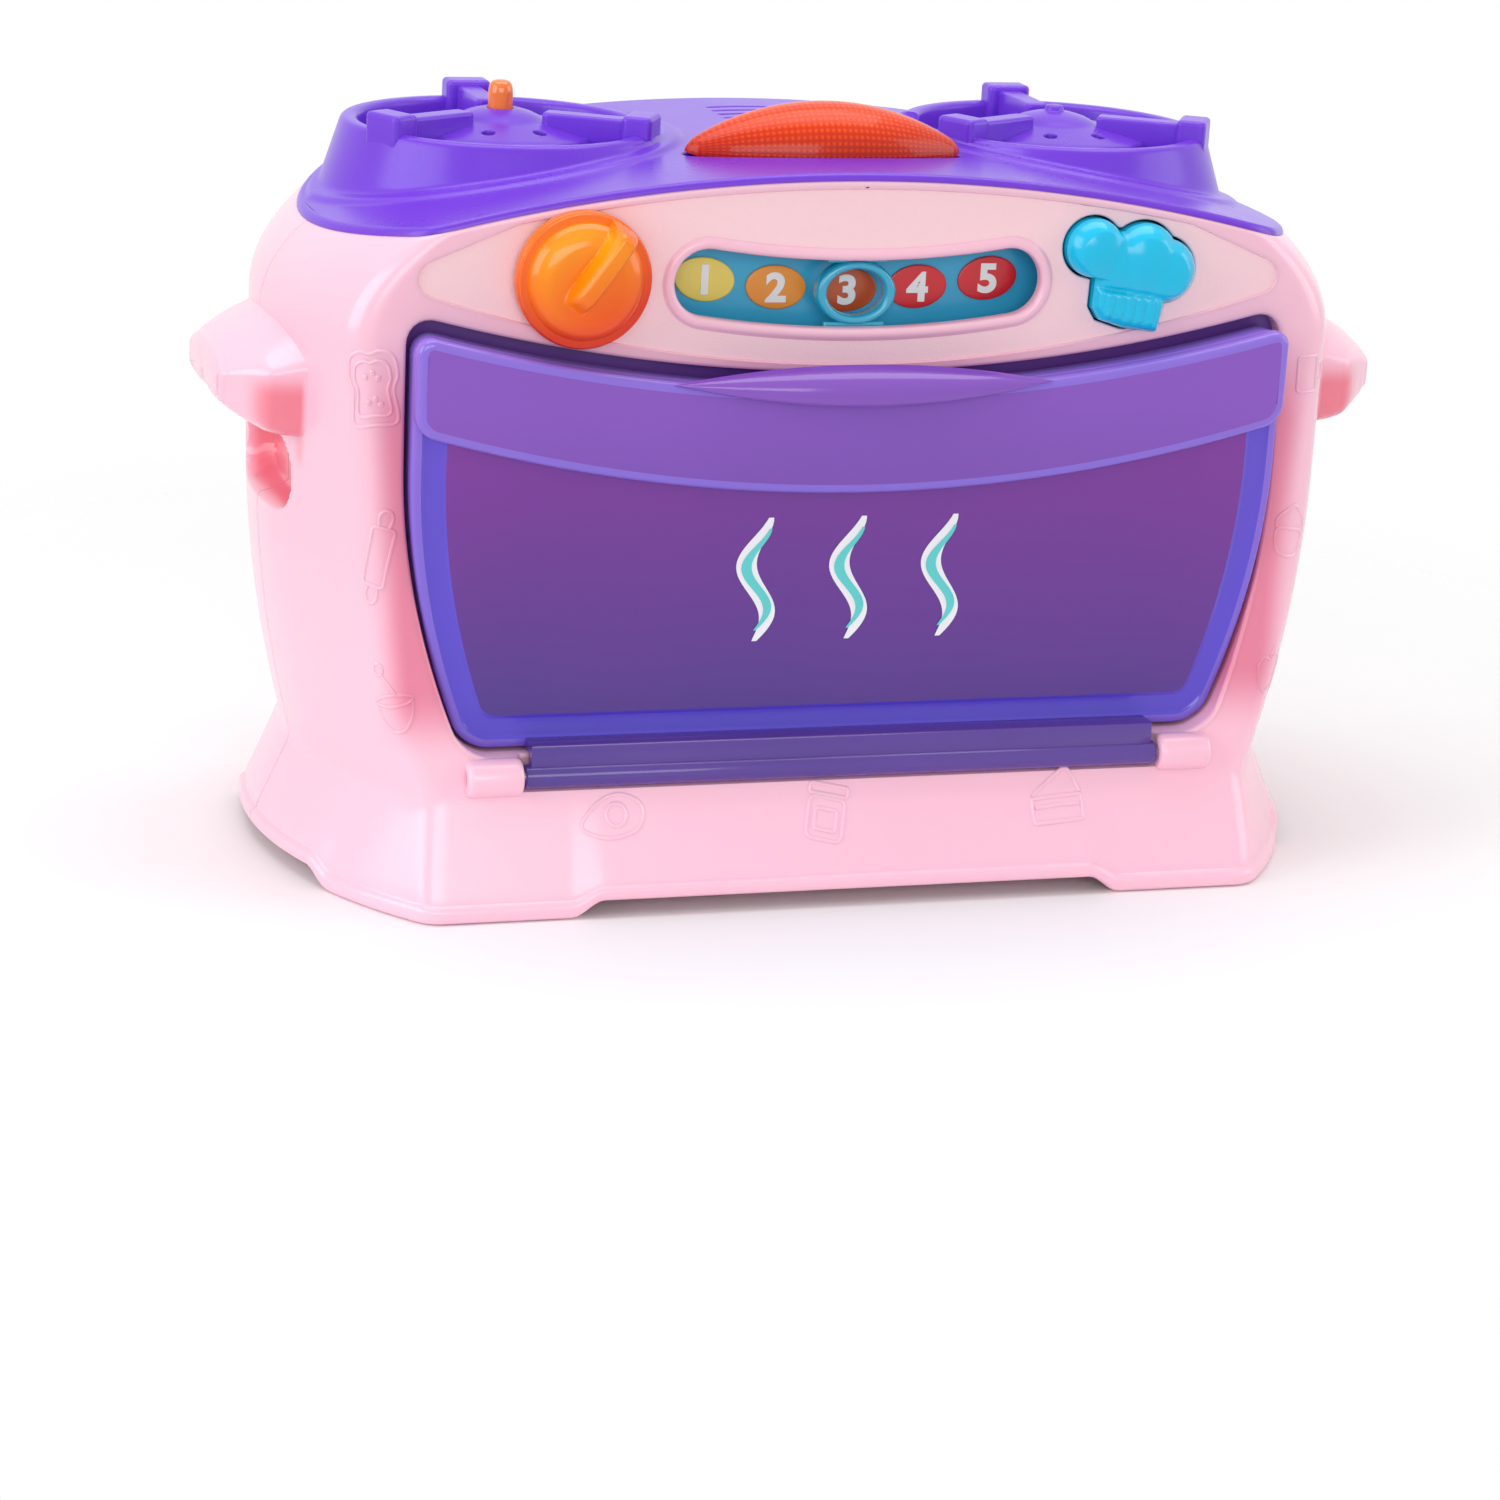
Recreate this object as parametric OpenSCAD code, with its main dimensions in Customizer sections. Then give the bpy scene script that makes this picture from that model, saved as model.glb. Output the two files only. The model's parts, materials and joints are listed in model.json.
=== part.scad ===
// Toy oven with a drop-down door, two raised burners and a row of controls.
// Millimetres. X runs to the viewer's right, the front faces -Y and Z is up.
// The origin is on the ground under the middle of the body.

/* [Body] */
// Widest part of the body, without the handles
body_w = 300; // [295:5:360]
// Depth of the base
body_d = 150; // [145:5:180]
// Height of the front panel's top edge in the middle
body_h = 193; // [190:1:232]
// Wall of the moulded shells
wall = 2.5; // [2:0.1:3]
// Height of the bead round the foot of the body
foot_lip = 5; // [3:0.5:8]
// Height of the waist above the flared base
waist_z = 30; // [26:1:32]
// How far the sides draw in at the waist
waist_in = 11; // [6:0.5:13]
// How far the front panel stands back from the base's front edge
panel_back = 25; // [22:1:30]
// Radius of the bowed sides in plan
side_r = 120; // [110:5:200]
// Distance of the seam between the shells behind the middle
seam_y = 3.5; // [-5:0.5:10]

/* [Door] */
// Height of the door opening's sill
sill_z = 41.5; // [41:0.5:45]
// Width of the pink strip on each side of the door
stile_w = 28; // [26:1:34]
// Height of the control panel, from the opening to the top edge
panel_h = 49; // [46:1:52]
// Gap between the door and its opening
door_gap = 1; // [0.6:0.1:1.5]
// Thickness of the door's pane
pane_t = 2.4; // [2:0.1:3]
// Height of the hinge axis
hinge_z = 36.5; // [36:0.25:37]
// Radius of the hinge barrel
barrel_r = 3.3; // [3:0.1:3.6]
// Radius of the steel hinge pin
pin_r = 1.5; // [1:0.1:1.8]
// Distance from the pin's middle to the inner face of a knuckle
knuckle_x = 90; // [80:1:92]
// Radial clearance of a running fit
run_fit = 0.06; // [0.03:0.01:0.1]

/* [Cavity] */
// Depth of the oven cavity
cavity_d = 92; // [80:1:96]
// Wall of the cavity liner
liner_t = 1.8; // [1.5:0.1:2.5]

/* [Burners] */
// Distance of a burner's centre from the body's side
burner_edge = 69.3; // [66:0.5:75]
// Distance of a burner's centre behind the middle
burner_y = 25.6; // [22:0.2:27]
// Outer radius of a burner's rim
burner_r = 43.1; // [38:0.1:44]
// Height of the burner rims above the panel's top edge
burner_rise = 2.8; // [2:0.1:6]
// Radius of the press pin
press_r = 3.4; // [2.5:0.1:4]

/* [Controls] */
// Distance of the knob and of the hat button from the middle
control_x = 76.5; // [74:0.5:82]
// Height of the controls below the panel's top edge
control_drop = 25.5; // [24:0.5:27]
// Radius of the timer knob
knob_r = 18; // [15:0.5:19]
// How far the timer knob stands out
knob_h = 15; // [10:0.5:18]
// Radius of the arc that the number ring slides along
slide_r = 270; // [240:5:300]
// Half width of the number window
window_half = 51; // [46:0.5:52]
// Half height of the number window
window_rise = 9; // [8:0.5:10]
// Travel of the hat button and of the press pin
press_travel = 3; // [2:0.5:3.5]

/* [Light] */
// Half length of the lens
lens_half = 39; // [34:0.5:40]
// Height of the lens above the hob
lens_h = 13.5; // [10:0.5:15]

/* [Power] */
// Diameter of a cell
cell_d = 14.2; // [10.5:0.1:14.5]
// Length of a cell without its button
cell_l = 49; // [43:0.5:49.5]

/* [Hidden] */
$fn = 64;
half_w = body_w / 2;
half_d = body_d / 2;
fit = 0.25;
far = 400;
side_y = 8;
bulge_z = 110;
shoulder_z = 150 + (body_h - 193);
shoulder_k = 0.022;
arch_drop = 24.075;
arch_k = arch_drop / (half_w * half_w);
arch_r = 1 / (2 * arch_k);
deck_rise = 1.8;
deck_z = body_h + deck_rise;
deck_t = 2.6;
lens_rim_z = deck_z - 5.8;
corner_r = 9;
corner_steps = 4;
side_steps = 8;
levels = concat([0, foot_lip - 0.8, foot_lip, 20, waist_z, waist_z + 8, 52, 70, 90],
                [for (k = [0:2]) bulge_z + k * (shoulder_z - bulge_z) / 2],
                [for (k = [1:5]) shoulder_z + k * (body_h + 4 - shoulder_z) / 5]);
burner_x = half_w - burner_edge;
rim_z = body_h + burner_rise;
bowl_floor_z = rim_z - 10.8;
opening_top = body_h - panel_h - 2.2;
door_top_gap = 2.2;
opening_half = half_w - stile_w;
corner_rise = 16.3724;
hinge_y = -half_d + 12.5;
pane_y = hinge_y + 6.5;
door_back = pane_y + 8;
control_z = body_h - control_drop;
window_z = body_h - 30.5;
panel_y = -half_d + panel_back;
tray_floor_y = panel_y + 12;
tray_half = window_half + 6;
slide_z = window_z + slide_r;
number_step = 19.8;
lens_y = -half_d + 63;
liner_y0 = panel_y + 7;
liner_y1 = panel_y + cavity_d;
liner_half = opening_half - 14;
liner_z0 = sill_z + 2;
liner_z1 = opening_top - 3;
board_z = liner_z1 + 8;
box_x = 30;
box_z0 = 56;
box_h = 3 * cell_d + 13.6;
box_y0 = half_d - wall - 19;
box_y1 = half_d - 3.2;
handle_z = 130;
power_z = box_z0 + box_h + 16;
hob_front_x = half_w - 42;
hob_front_y = panel_y + 12;
hob_rear_x = 30;
hob_rear_y = half_d - 13;
switch_y = panel_y + 29.6;
screw_r = 1.5;
hat_y = panel_y - 6;
speaker_y = half_d - 26;
speaker_r = 15;
plunger_x = -opening_half + 5.5;
plunger_z = opening_top - 22;

// Body form

// Share of the way from the waist up to the widest level, and what is left of it squared
function rest(z, top) = pow(1 - min(1, max(0, (z - waist_z) / (top - waist_z))), 2);
function flare(z) = min(1, max(0, (z - foot_lip) / (waist_z - foot_lip)));
function lip_in(z) = z < foot_lip ? 0 : 1.4;

// Half width of the body at a height
function body_half(z) = half_w - (z <= waist_z ? lip_in(z) + (waist_in - 1.4) * flare(z)
    : waist_in * rest(z, bulge_z)) - (z > shoulder_z ? shoulder_k * pow(z - shoulder_z, 2) : 0);

// Front and rear faces of the body at a height
function body_front(z) = -half_d + (z <= waist_z ? lip_in(z) + 9.6 * flare(z)
    : 11 + (panel_back - 11) * (1 - rest(z, 170)));
function body_rear(z) = half_d - (z <= waist_z ? lip_in(z) + 5 * flare(z) : 6.4 * rest(z, 60));

// Height of the seam arch, and of the deck above it, at a distance from the middle
function arch(x) = body_h - arch_k * x * x;

// One side of a level: front corner arc, bowed side, rear corner arc
function half_section(w, yf, yb, rs, r) =
    let (ax = w - rs,
         cf = ax + sqrt(pow(rs - r, 2) - pow(yf + r - side_y, 2)),
         cb = ax + sqrt(pow(rs - r, 2) - pow(yb - r - side_y, 2)),
         af = atan2(yf + r - side_y, cf - ax),
         ab = atan2(yb - r - side_y, cb - ax))
    concat([for (k = [0:corner_steps]) let (a = -90 + k * (af + 90) / corner_steps)
                [cf + r * cos(a), yf + r + r * sin(a)]],
           [for (k = [1:side_steps - 1]) let (a = af + k * (ab - af) / side_steps)
                [ax + rs * cos(a), side_y + rs * sin(a)]],
           [for (k = [0:corner_steps]) let (a = ab + k * (90 - ab) / corner_steps)
                [cb + r * cos(a), yb - r + r * sin(a)]]);

function level_ring(z, t) =
    let (h = half_section(body_half(z) - t, body_front(z) + t, body_rear(z) - t, side_r - t,
                          corner_r - t), n = len(h))
    concat([for (p = h) [p[0], p[1], z]], [for (k = [n - 1:-1:0]) [-h[k][0], h[k][1], z]]);

// Solid of the body, drawn in by t on every side
module body_solid(t) {
    rings = [for (z = levels) level_ring(z, t)];
    n = len(rings[0]);
    m = len(rings);
    polyhedron(points = [for (r = rings) each r],
        faces = concat(
            [[for (k = [0:n - 1]) k]],
            [for (j = [0:m - 2], k = [0:n - 1]) [j * n + k, (j + 1) * n + k, j * n + (k + 1) % n]],
            [for (j = [0:m - 2], k = [0:n - 1])
                [j * n + (k + 1) % n, (j + 1) * n + k, (j + 1) * n + (k + 1) % n]],
            [[for (k = [n - 1:-1:0]) (m - 1) * n + k]]));
}

// Everything below an arch whose crown is at z
module below_arch(z) {
    translate([0, far, z - arch_r]) rotate([90, 0, 0]) cylinder(r = arch_r, h = 2 * far, $fn = 256);
}

// Plain helpers

module box(x0, x1, y0, y1, z0, z1) {
    translate([x0, y0, z0]) cube([x1 - x0, y1 - y0, z1 - z0]);
}
// Cylinder from a point towards +Y, and one towards +X
module rod_y(x, y0, y1, z, r) {
    translate([x, y1, z]) rotate([90, 0, 0]) cylinder(r = r, h = y1 - y0);
}
module rod_x(x0, x1, y, z, r) {
    translate([x0, y, z]) rotate([0, 90, 0]) cylinder(r = r, h = x1 - x0);
}
module mirror_x() {
    children();
    mirror([1, 0, 0]) children();
}
// Front-view outline carried from y0 back to y1
module plate_y(y0, y1) {
    translate([0, y1, 0]) rotate([90, 0, 0]) linear_extrude(y1 - y0) children();
}
// Screw with a round head: it lies along +Z with the tip at the bottom
module screw(length) {
    cylinder(r = screw_r, h = length, $fn = 24);
    translate([0, 0, length]) difference() {
        cylinder(r = 2.6, h = 1.8, $fn = 24);
        translate([0, 0, 0.8]) linear_extrude(2) for (a = [0, 90])
            rotate(a) square([3, 0.7], center = true);
    }
}
// Coil spring along +Z
function coil_ring(c, a, r, wire) = [for (k = [0:5]) let (b = k * 60)
    [(r + wire * cos(b)) * cos(a), (r + wire * cos(b)) * sin(a), c + wire * sin(b)]];
module coil(r, wire, height, turns) {
    steps = turns * 8;
    rise = height - 2 * wire;
    rings = [for (k = [0:steps]) coil_ring(wire + rise * k / steps, k * 45, r, wire)];
    polyhedron(points = [for (q = rings) each q],
        faces = concat([[for (k = [0:5]) k]],
            [for (j = [0:steps - 1], k = [0:5]) [j * 6 + k, (j + 1) * 6 + k, j * 6 + (k + 1) % 6]],
            [for (j = [0:steps - 1], k = [0:5])
                [j * 6 + (k + 1) % 6, (j + 1) * 6 + k, (j + 1) * 6 + (k + 1) % 6]],
            [[for (k = [5:-1:0]) steps * 6 + k]]));
}
// Lead along a list of points: a tube of eight sides, mitred at each bend
function unit(v) = v / norm(v);
function lead_ring(points, k, r) =
    let (n = len(points),
         a = unit(points[min(k + 1, n - 1)] - points[min(k, n - 2)]),
         b = unit(points[max(k, 1)] - points[max(k - 1, 0)]),
         t = unit(a + b),
         u = unit(cross([0.31, 0.83, 0.46], t)),
         v = cross(t, u))
    [for (j = [0:7]) points[k] + r * (cos(j * 45) * u + sin(j * 45) * v)];
module lead(points, r) {
    rings = [for (k = [0:len(points) - 1]) lead_ring(points, k, r)];
    m = len(points);
    polyhedron(points = [for (q = rings) each q],
        faces = concat([[for (k = [7:-1:0]) k]],
            [for (j = [0:m - 2], k = [0:7]) [j * 8 + k, j * 8 + (k + 1) % 8, (j + 1) * 8 + k]],
            [for (j = [0:m - 2], k = [0:7])
                [j * 8 + (k + 1) % 8, (j + 1) * 8 + (k + 1) % 8, (j + 1) * 8 + k]],
            [[for (k = [0:7]) (m - 1) * 8 + k]]));
}

// Outlines in front view

// Half width of the door opening at a height
function opening_half_at(z) = opening_half - 0.0028 * pow(max(0, 118 - z), 2);
function opening_top_at(x) = opening_top + corner_rise * pow(x / opening_half, 2);
// Door outline, drawn in by g and by t more along the top, with round corners
module door_outline(g, t = 0) {
    n = 9;
    r = 8 - g;
    z0 = sill_z + g;
    drop = g + t;
    side = [for (k = [0:n]) let (z = z0 + k * (opening_top_at(opening_half) - z0 - drop) / n)
        [opening_half_at(z) - g, z]];
    top = [for (k = [8:-1:-8]) let (x = k * (opening_half - g) / 8) [x, opening_top_at(x) - drop]];
    offset(r = r, $fn = 48) offset(delta = -r) polygon(concat(
        side, top, [for (k = [n:-1:0]) [-side[k][0], side[k][1]]]));
}
module leaf_outline() {
    door_outline(door_gap, door_top_gap);
}
// Band along the slider's arc, between two radii, out to half width x
module arc_band(r0, r1, x) {
    a = asin(x / slide_r);
    steps = 16;
    translate([0, slide_z]) polygon(concat(
        [for (k = [-steps:steps]) let (b = a * k / steps) r1 * [sin(b), -cos(b)]],
        [for (k = [steps:-1:-steps]) let (b = a * k / steps) r0 * [sin(b), -cos(b)]]));
}
// Number window: a smile-shaped slot with round ends, grown by g
module window_outline(g) {
    h = window_rise + g;
    arc_band(slide_r - h, slide_r + h, window_half - window_rise);
    a = asin((window_half - window_rise) / slide_r);
    for (s = [-1, 1]) translate([slide_r * sin(s * a), slide_z - slide_r * cos(a)])
        circle(r = h, $fn = 48);
}
// Hat shape: three puffs over a band, grown by g
module hat_outline(g) {
    for (p = [[-12.2, 6, 8], [-4.5, 4, 7.6], [2.5, 5.2, 9.6], [9.3, 2.8, 8.6]])
        translate([p[0], p[1]]) circle(r = p[2] + g, $fn = 40);
    polygon([[-10.6 - g, 0], [-9.6 - g, -10], [-7 - 0.6 * g, -13 - 0.8 * g], [0, -14.2 - g],
             [10 + g, -14.2 - g], [10.9 + g, -4], [8, 0]]);
}
module at_hat() {
    translate([control_x, 0, control_z]) rotate([0, 8, 0]) children();
}

// Shells

// Side grip: a wedge that is tall at the body and narrows outwards, drawn in by t
module handle_form(t) {
    for (s = [-1, 1]) hull() for (k = [-1, 1]) {
        translate([s * (half_w + 10), seam_y + k * 12, handle_z + 3.4]) sphere(r = 5.4 - t, $fn = 20);
        translate([s * (half_w - 6), seam_y + k * 25, handle_z + 10.5]) sphere(r = 5.5 - t, $fn = 20);
        translate([s * (half_w - 6), seam_y + k * 22, handle_z - 7.5]) sphere(r = 5.5 - t, $fn = 20);
    }
}
// Finger recess under each handle, grown by g
module finger_scoop(g) {
    for (s = [-1, 1]) {
        x = s * (half_w + 1);
        z = handle_z - 22;
        rod_y(x, seam_y - 9, seam_y + 9, z, 9.5 + g);
        for (k = [-9, 9]) translate([x, seam_y + k, z]) sphere(r = 9.5 + g);
    }
}
// Both shells in one, before they are split at the seam
module shell_form() {
    difference() {
        union() {
            intersection() {
                body_solid(0);
                union() {
                    difference() {
                        box(-far, far, -far, far, -1, body_h + 10);
                        body_solid(wall);
                    }
                    finger_scoop(wall);
                    jamb();
                    trough();
                }
            }
            difference() {
                handle_form(0);
                handle_form(wall);
                box(-half_w + 8, half_w - 8, -far, far, 0, body_h);
            }
        }
        finger_scoop(0);
        plate_y(-far, liner_y0 - 1) door_outline(0);
    }
}
// Return walls of the door opening, back to the cavity liner
module jamb() {
    plate_y(-half_d, liner_y0 - 1.8) offset(delta = wall) door_outline(0);
}
// Wall behind the hinge barrel
module trough() {
    intersection() {
        rod_x(-knuckle_x - 8, knuckle_x + 8, hinge_y, hinge_z, barrel_r + 0.9 + wall);
        box(-far, far, hinge_y, far, 0, sill_z);
    }
}
// Almond-shaped recess that frames the controls
module panel_recess() {
    tip = control_x + 43;
    low = body_h - 49.6;
    rise = 23.3 / (tip * tip);
    plate_y(-far, panel_y + 0.7) polygon(concat(
        [for (k = [-12:12]) let (x = k * tip / 12) [x, low + rise * x * x]],
        [for (k = [11:-1:-11]) let (x = k * tip / 12) [x, min(body_h - 2.3 - arch_k * x * x,
            low + 23.3 + 0.45 * (tip - abs(x)))]]));
}
module half_space(front) {
    if (front) box(-far, far, -far, seam_y - 0.1, -1, body_h + 10);
    else box(-far, far, seam_y + 0.1, far, -1, body_h + 10);
}
// Foot cut-outs: the lower edge is raised between the corner feet
module foot_arches() {
    box(-half_w + 82, half_w - 82, -far, far, -1, foot_lip - 0.4);
    box(-far, far, -half_d + 34, half_d - 34, -1, foot_lip - 0.4);
}
shell_screw_spots = [for (s = [-1, 1]) each [[s * (half_w - 62), 20], [s * (half_w - 32), body_h - 30]]];
base_screw_spots = [for (x = [-1, 1]) for (y = [-1, 1]) [x * (half_w - 46), y * (half_d - 26)]];
// Boss for a base screw, with a rib to the wall in front of it or behind it
module base_boss(x, side) {
    y = side * (half_d - 26);
    z = foot_lip + 20;
    end = side < 0 ? body_front(z) + 0.7 : body_rear(z) - 0.7;
    translate([x, y, foot_lip + 3.1]) cylinder(r = 4, h = 18);
    box(x - 1.3, x + 1.3, min(y, end), max(y, end), foot_lip + 6, z + 1);
}

module front_shell() color([0.98, 0.74, 0.80]) {
    difference() {
        union() {
            intersection() {
                shell_form();
                half_space(true);
                below_arch(body_h - 0.1);
            }
            knuckles();
            for (p = shell_screw_spots)
                rod_y(p[0], body_front(p[1]) + 1, seam_y - 0.1, p[1], 4);
            for (s = [-1, 1]) {
                base_boss(s * (half_w - 46), -1);
                hob_tab(s * hob_front_x, panel_y + 1, hob_front_y + 5);
                rod_y(-control_x + s * 9, panel_y + 1, switch_y - 0.1, control_z - 10, 2.2);
            }
        }
        panel_recess();
        plate_y(-far, panel_y + 20) window_outline(0);
        plate_y(-far, panel_y + 20) translate([-control_x, control_z]) circle(r = 7);
        at_hat() plate_y(-far, panel_y + 20) hat_outline(0.5);
        for (p = shell_screw_spots) rod_y(p[0], seam_y - 14, seam_y + 1, p[1], screw_r);
        for (p = base_screw_spots) translate([p[0], p[1], 0]) cylinder(r = screw_r, h = 20);
        for (s = [-1, 1]) hob_tab_hole(s * hob_front_x, hob_front_y);
        rod_x(-knuckle_x - 16, knuckle_x + 14.2, hinge_y, hinge_z, pin_r + 0.02);
        rod_x(-knuckle_x, knuckle_x, hinge_y, hinge_z, barrel_r + 0.9);
        box(-knuckle_x, knuckle_x, -far, hinge_y + 2.2, hinge_z, sill_z + 1);
        foot_arches();
    }
}
// Knuckles that carry the hinge pin, each on a short web to the face behind it
module knuckles() {
    mirror_x() {
        rod_x(knuckle_x + 0.3, knuckle_x + 15.5, hinge_y, hinge_z, 5.2);
        box(knuckle_x + 0.3, knuckle_x + 15.5, hinge_y, body_front(hinge_z) + wall / 2 + 2,
            hinge_z - 5.2, hinge_z + 3);
    }
}
module rear_shell() color([0.98, 0.74, 0.80]) {
    difference() {
        union() {
            intersection() {
                shell_form();
                half_space(false);
                below_arch(body_h - 0.1);
            }
            for (p = shell_screw_spots) rod_y(p[0], seam_y + 0.1, body_rear(p[1]) - 1, p[1], 4);
            for (s = [-1, 1]) {
                base_boss(s * (half_w - 46), 1);
                hob_tab(s * hob_rear_x, hob_rear_y - 5, half_d - 1);
            }
        }
        box(-box_x, box_x, box_y0 - 1, half_d + 1, box_z0, box_z0 + box_h);
        for (p = shell_screw_spots) {
            rod_y(p[0], seam_y - 1, half_d, p[1], screw_r + 0.2);
            rod_y(p[0], seam_y + 12, half_d + 9, p[1], 3);
        }
        for (p = base_screw_spots) translate([p[0], p[1], 0]) cylinder(r = screw_r, h = 20);
        for (s = [-1, 1]) hob_tab_hole(s * hob_rear_x, hob_rear_y);
        box(-6, 6, half_d - 9, half_d + 1, power_z - 3, power_z + 3);
        foot_arches();
    }
}
module base_plate() color([0.95, 0.70, 0.77]) {
    difference() {
        union() {
            translate([0, 0, foot_lip + 1]) linear_extrude(2)
                polygon([for (p = level_ring(foot_lip + 3, wall + 1)) [p[0], p[1]]]);
            for (p = base_screw_spots) translate([p[0], p[1], 0]) cylinder(r = 9, h = foot_lip + 2);
        }
        for (p = base_screw_spots) translate([p[0], p[1], -1]) {
            cylinder(r = screw_r + 0.2, h = 20);
            cylinder(r = 3, h = 5);
        }
    }
}
module base_screws() color("silver")
    for (p = base_screw_spots) translate([p[0], p[1], 15]) mirror([0, 0, 1])
        screw(11.05);
module shell_screws() color("silver")
    for (p = shell_screw_spots) translate([p[0], seam_y - 10, p[1]]) rotate([-90, 0, 0])
        screw(22.05);

// Hob

hob_screw_spots = concat([for (s = [-1, 1]) [s * hob_front_x, hob_front_y]],
                         [for (s = [-1, 1]) [s * hob_rear_x, hob_rear_y]]);
// Lower end of a hob boss at a distance from the middle
function hob_boss_z(x) = deck_z - arch_k * x * x - 12;
module hob_tab(x, y0, y1) {
    box(x - 5, x + 5, y0, y1, hob_boss_z(x) - 2.1, hob_boss_z(x) - 0.1);
}
module hob_tab_hole(x, y) {
    translate([x, y, hob_boss_z(x) - 4]) cylinder(r = screw_r + 0.2, h = 5);
}
module burner_at(s) {
    translate([s * burner_x, burner_y, 0]) children();
}
module bowl_outer() {
    h = 24;
    translate([0, 0, rim_z - h]) cylinder(r1 = burner_r + 0.29 * h, r2 = burner_r, h = h);
}
module bowl_inner() {
    translate([0, 0, bowl_floor_z])
        cylinder(r1 = burner_r - 6.5, r2 = burner_r - 4.5, h = rim_z - bowl_floor_z + 1);
}
// Two-step dome in the middle of a burner, and its three spokes
module burner_dome() {
    translate([0, 0, bowl_floor_z - 1]) cylinder(r = 27, h = 9.6);
    translate([0, 0, bowl_floor_z + 8.6]) cylinder(r1 = 27, r2 = 11, h = 3.4);
    intersection() {
        translate([0, 0, bowl_floor_z + 12 - 20.2]) sphere(r = 23, $fn = 96);
        translate([0, 0, bowl_floor_z + 11]) cylinder(r = 11, h = 6);
    }
}
module burner_spokes() {
    for (a = [90, 210, 330]) rotate(a) {
        box(12, burner_r - 3, -3, 3, bowl_floor_z - 1, rim_z + 3.4);
        box(burner_r - 6.5, burner_r + 2.2, -5.5, 5.5, bowl_floor_z - 1, rim_z + 5);
    }
}
// Rounded notch in the left-hand rear of the right burner's rim
module rim_notch() {
    burner_at(1) rotate(162) translate([burner_r - 8, 0, rim_z + 1]) rotate([0, 90, 0])
        cylinder(r = 7, h = 12);
}
module lens_form(g) {
    bulge = (lens_half * lens_half + lens_h * lens_h) / (2 * lens_h);
    translate([0, lens_y, deck_z - 0.6]) rotate([0, 90, 0]) rotate_extrude($fn = 96) polygon(concat(
        [[0, -lens_half - g]],
        [for (k = [0:16]) let (x = -lens_half - g + k * (lens_half + g) / 8)
            [max(0, sqrt(pow(bulge + g, 2) - x * x) - (bulge - lens_h)), x]],
        [[0, lens_half + g]]));
}
// Everything above an arch whose crown is at z, up to top
module above_arch(z, top) {
    difference() {
        box(-far, far, -far, far, 100, top);
        below_arch(z);
    }
}
// Room under a bowl's floor
module bowl_under() {
    h = 40;
    translate([0, 0, bowl_floor_z - 2.4 - h])
        cylinder(r1 = burner_r + 0.29 * (h + 13.2) - 2.6, r2 = burner_r + 0.29 * 13.2 - 2.6, h = h);
}
module deck_plate() {
    intersection() {
        body_solid(0);
        below_arch(deck_z);
        above_arch(body_h + 0.1, body_h + 20);
    }
    intersection() {
        deck_column(wall + 0.4);
        below_arch(body_h + 0.2);
        above_arch(deck_z - deck_t, body_h + 20);
    }
    intersection() {
        difference() {
            deck_column(wall + 0.4);
            deck_column(wall + 3);
        }
        below_arch(body_h + 0.2);
        above_arch(body_h - 3, body_h + 20);
    }
}
// Upright column inside the shells, drawn in by t
module deck_column(t) {
    translate([0, 0, 100]) linear_extrude(body_h)
        polygon([for (p = level_ring(body_h - 6, t)) [p[0], p[1]]]);
}
module bowl_shell() {
    difference() {
        intersection() {
            bowl_outer();
            translate([-burner_x, -burner_y, 0]) body_solid_plan();
        }
        bowl_inner();
        bowl_under();
    }
}
module speaker_ring() {
    translate([0, speaker_y, deck_z - 7]) difference() {
        cylinder(r = speaker_r + 5, h = 5);
        translate([0, 0, -0.1]) cylinder(r = speaker_r + fit, h = 7 - deck_t);
    }
}
speaker_screw_spots = [for (a = [30, 150, 270]) (speaker_r + 1.9) * [cos(a), sin(a)]];
module hob_top() color([0.56, 0.36, 0.86]) {
    difference() {
        union() {
            difference() {
                deck_plate();
                mirror_x() burner_at(1) translate([0, 0, rim_z - 24])
                    cylinder(r1 = burner_r + 0.29 * 24 - 1.2, r2 = burner_r - 1.2, h = 24);
            }
            intersection() {
                mirror_x() burner_at(1) bowl_shell();
                union() {
                    above_arch(body_h + 0.1, rim_z);
                    intersection() {
                        deck_column(wall + 0.1);
                        union() {
                            above_arch(body_h - 3, rim_z);
                            box(-far, far, -far, far, bowl_floor_z - 2.4, rim_z);
                        }
                    }
                }
            }
            for (p = hob_screw_spots) translate([p[0], p[1], hob_boss_z(p[0])]) cylinder(r = 4, h = 10.6);
            speaker_ring();
            mirror_x() burner_at(1) {
                burner_dome();
                burner_spokes();
            }
            burner_at(1) translate([0, 0, bowl_floor_z + 14]) cylinder(r1 = 2.6, r2 = 2, h = 1.4);
        }
        burner_at(-1) translate([0, 0, 100]) cylinder(r = press_r + 0.1, h = far);
        for (s = [-1, 1]) burner_at(s) for (k = [0:7]) rotate(k * 45 + 22)
            translate([19, 0, bowl_floor_z + 9]) cylinder(r = 1.4, h = 6, $fn = 24);
        rim_notch();
        lens_form(0.3);
        for (k = [0:3]) speaker_slot(8 + 6 * k);
        for (p = hob_screw_spots) translate([p[0], p[1], hob_boss_z(p[0]) - 1])
            cylinder(r = screw_r, h = 8);
        for (p = speaker_screw_spots) translate([p[0], speaker_y + p[1], deck_z - 8])
            cylinder(r = screw_r, h = 4.6);
    }
}
// Body outline at the shoulder, straight up, so the bowls never leave it
module body_solid_plan() {
    linear_extrude(far) polygon([for (p = level_ring(shoulder_z, 0.3)) [p[0], p[1]]]);
}
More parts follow.
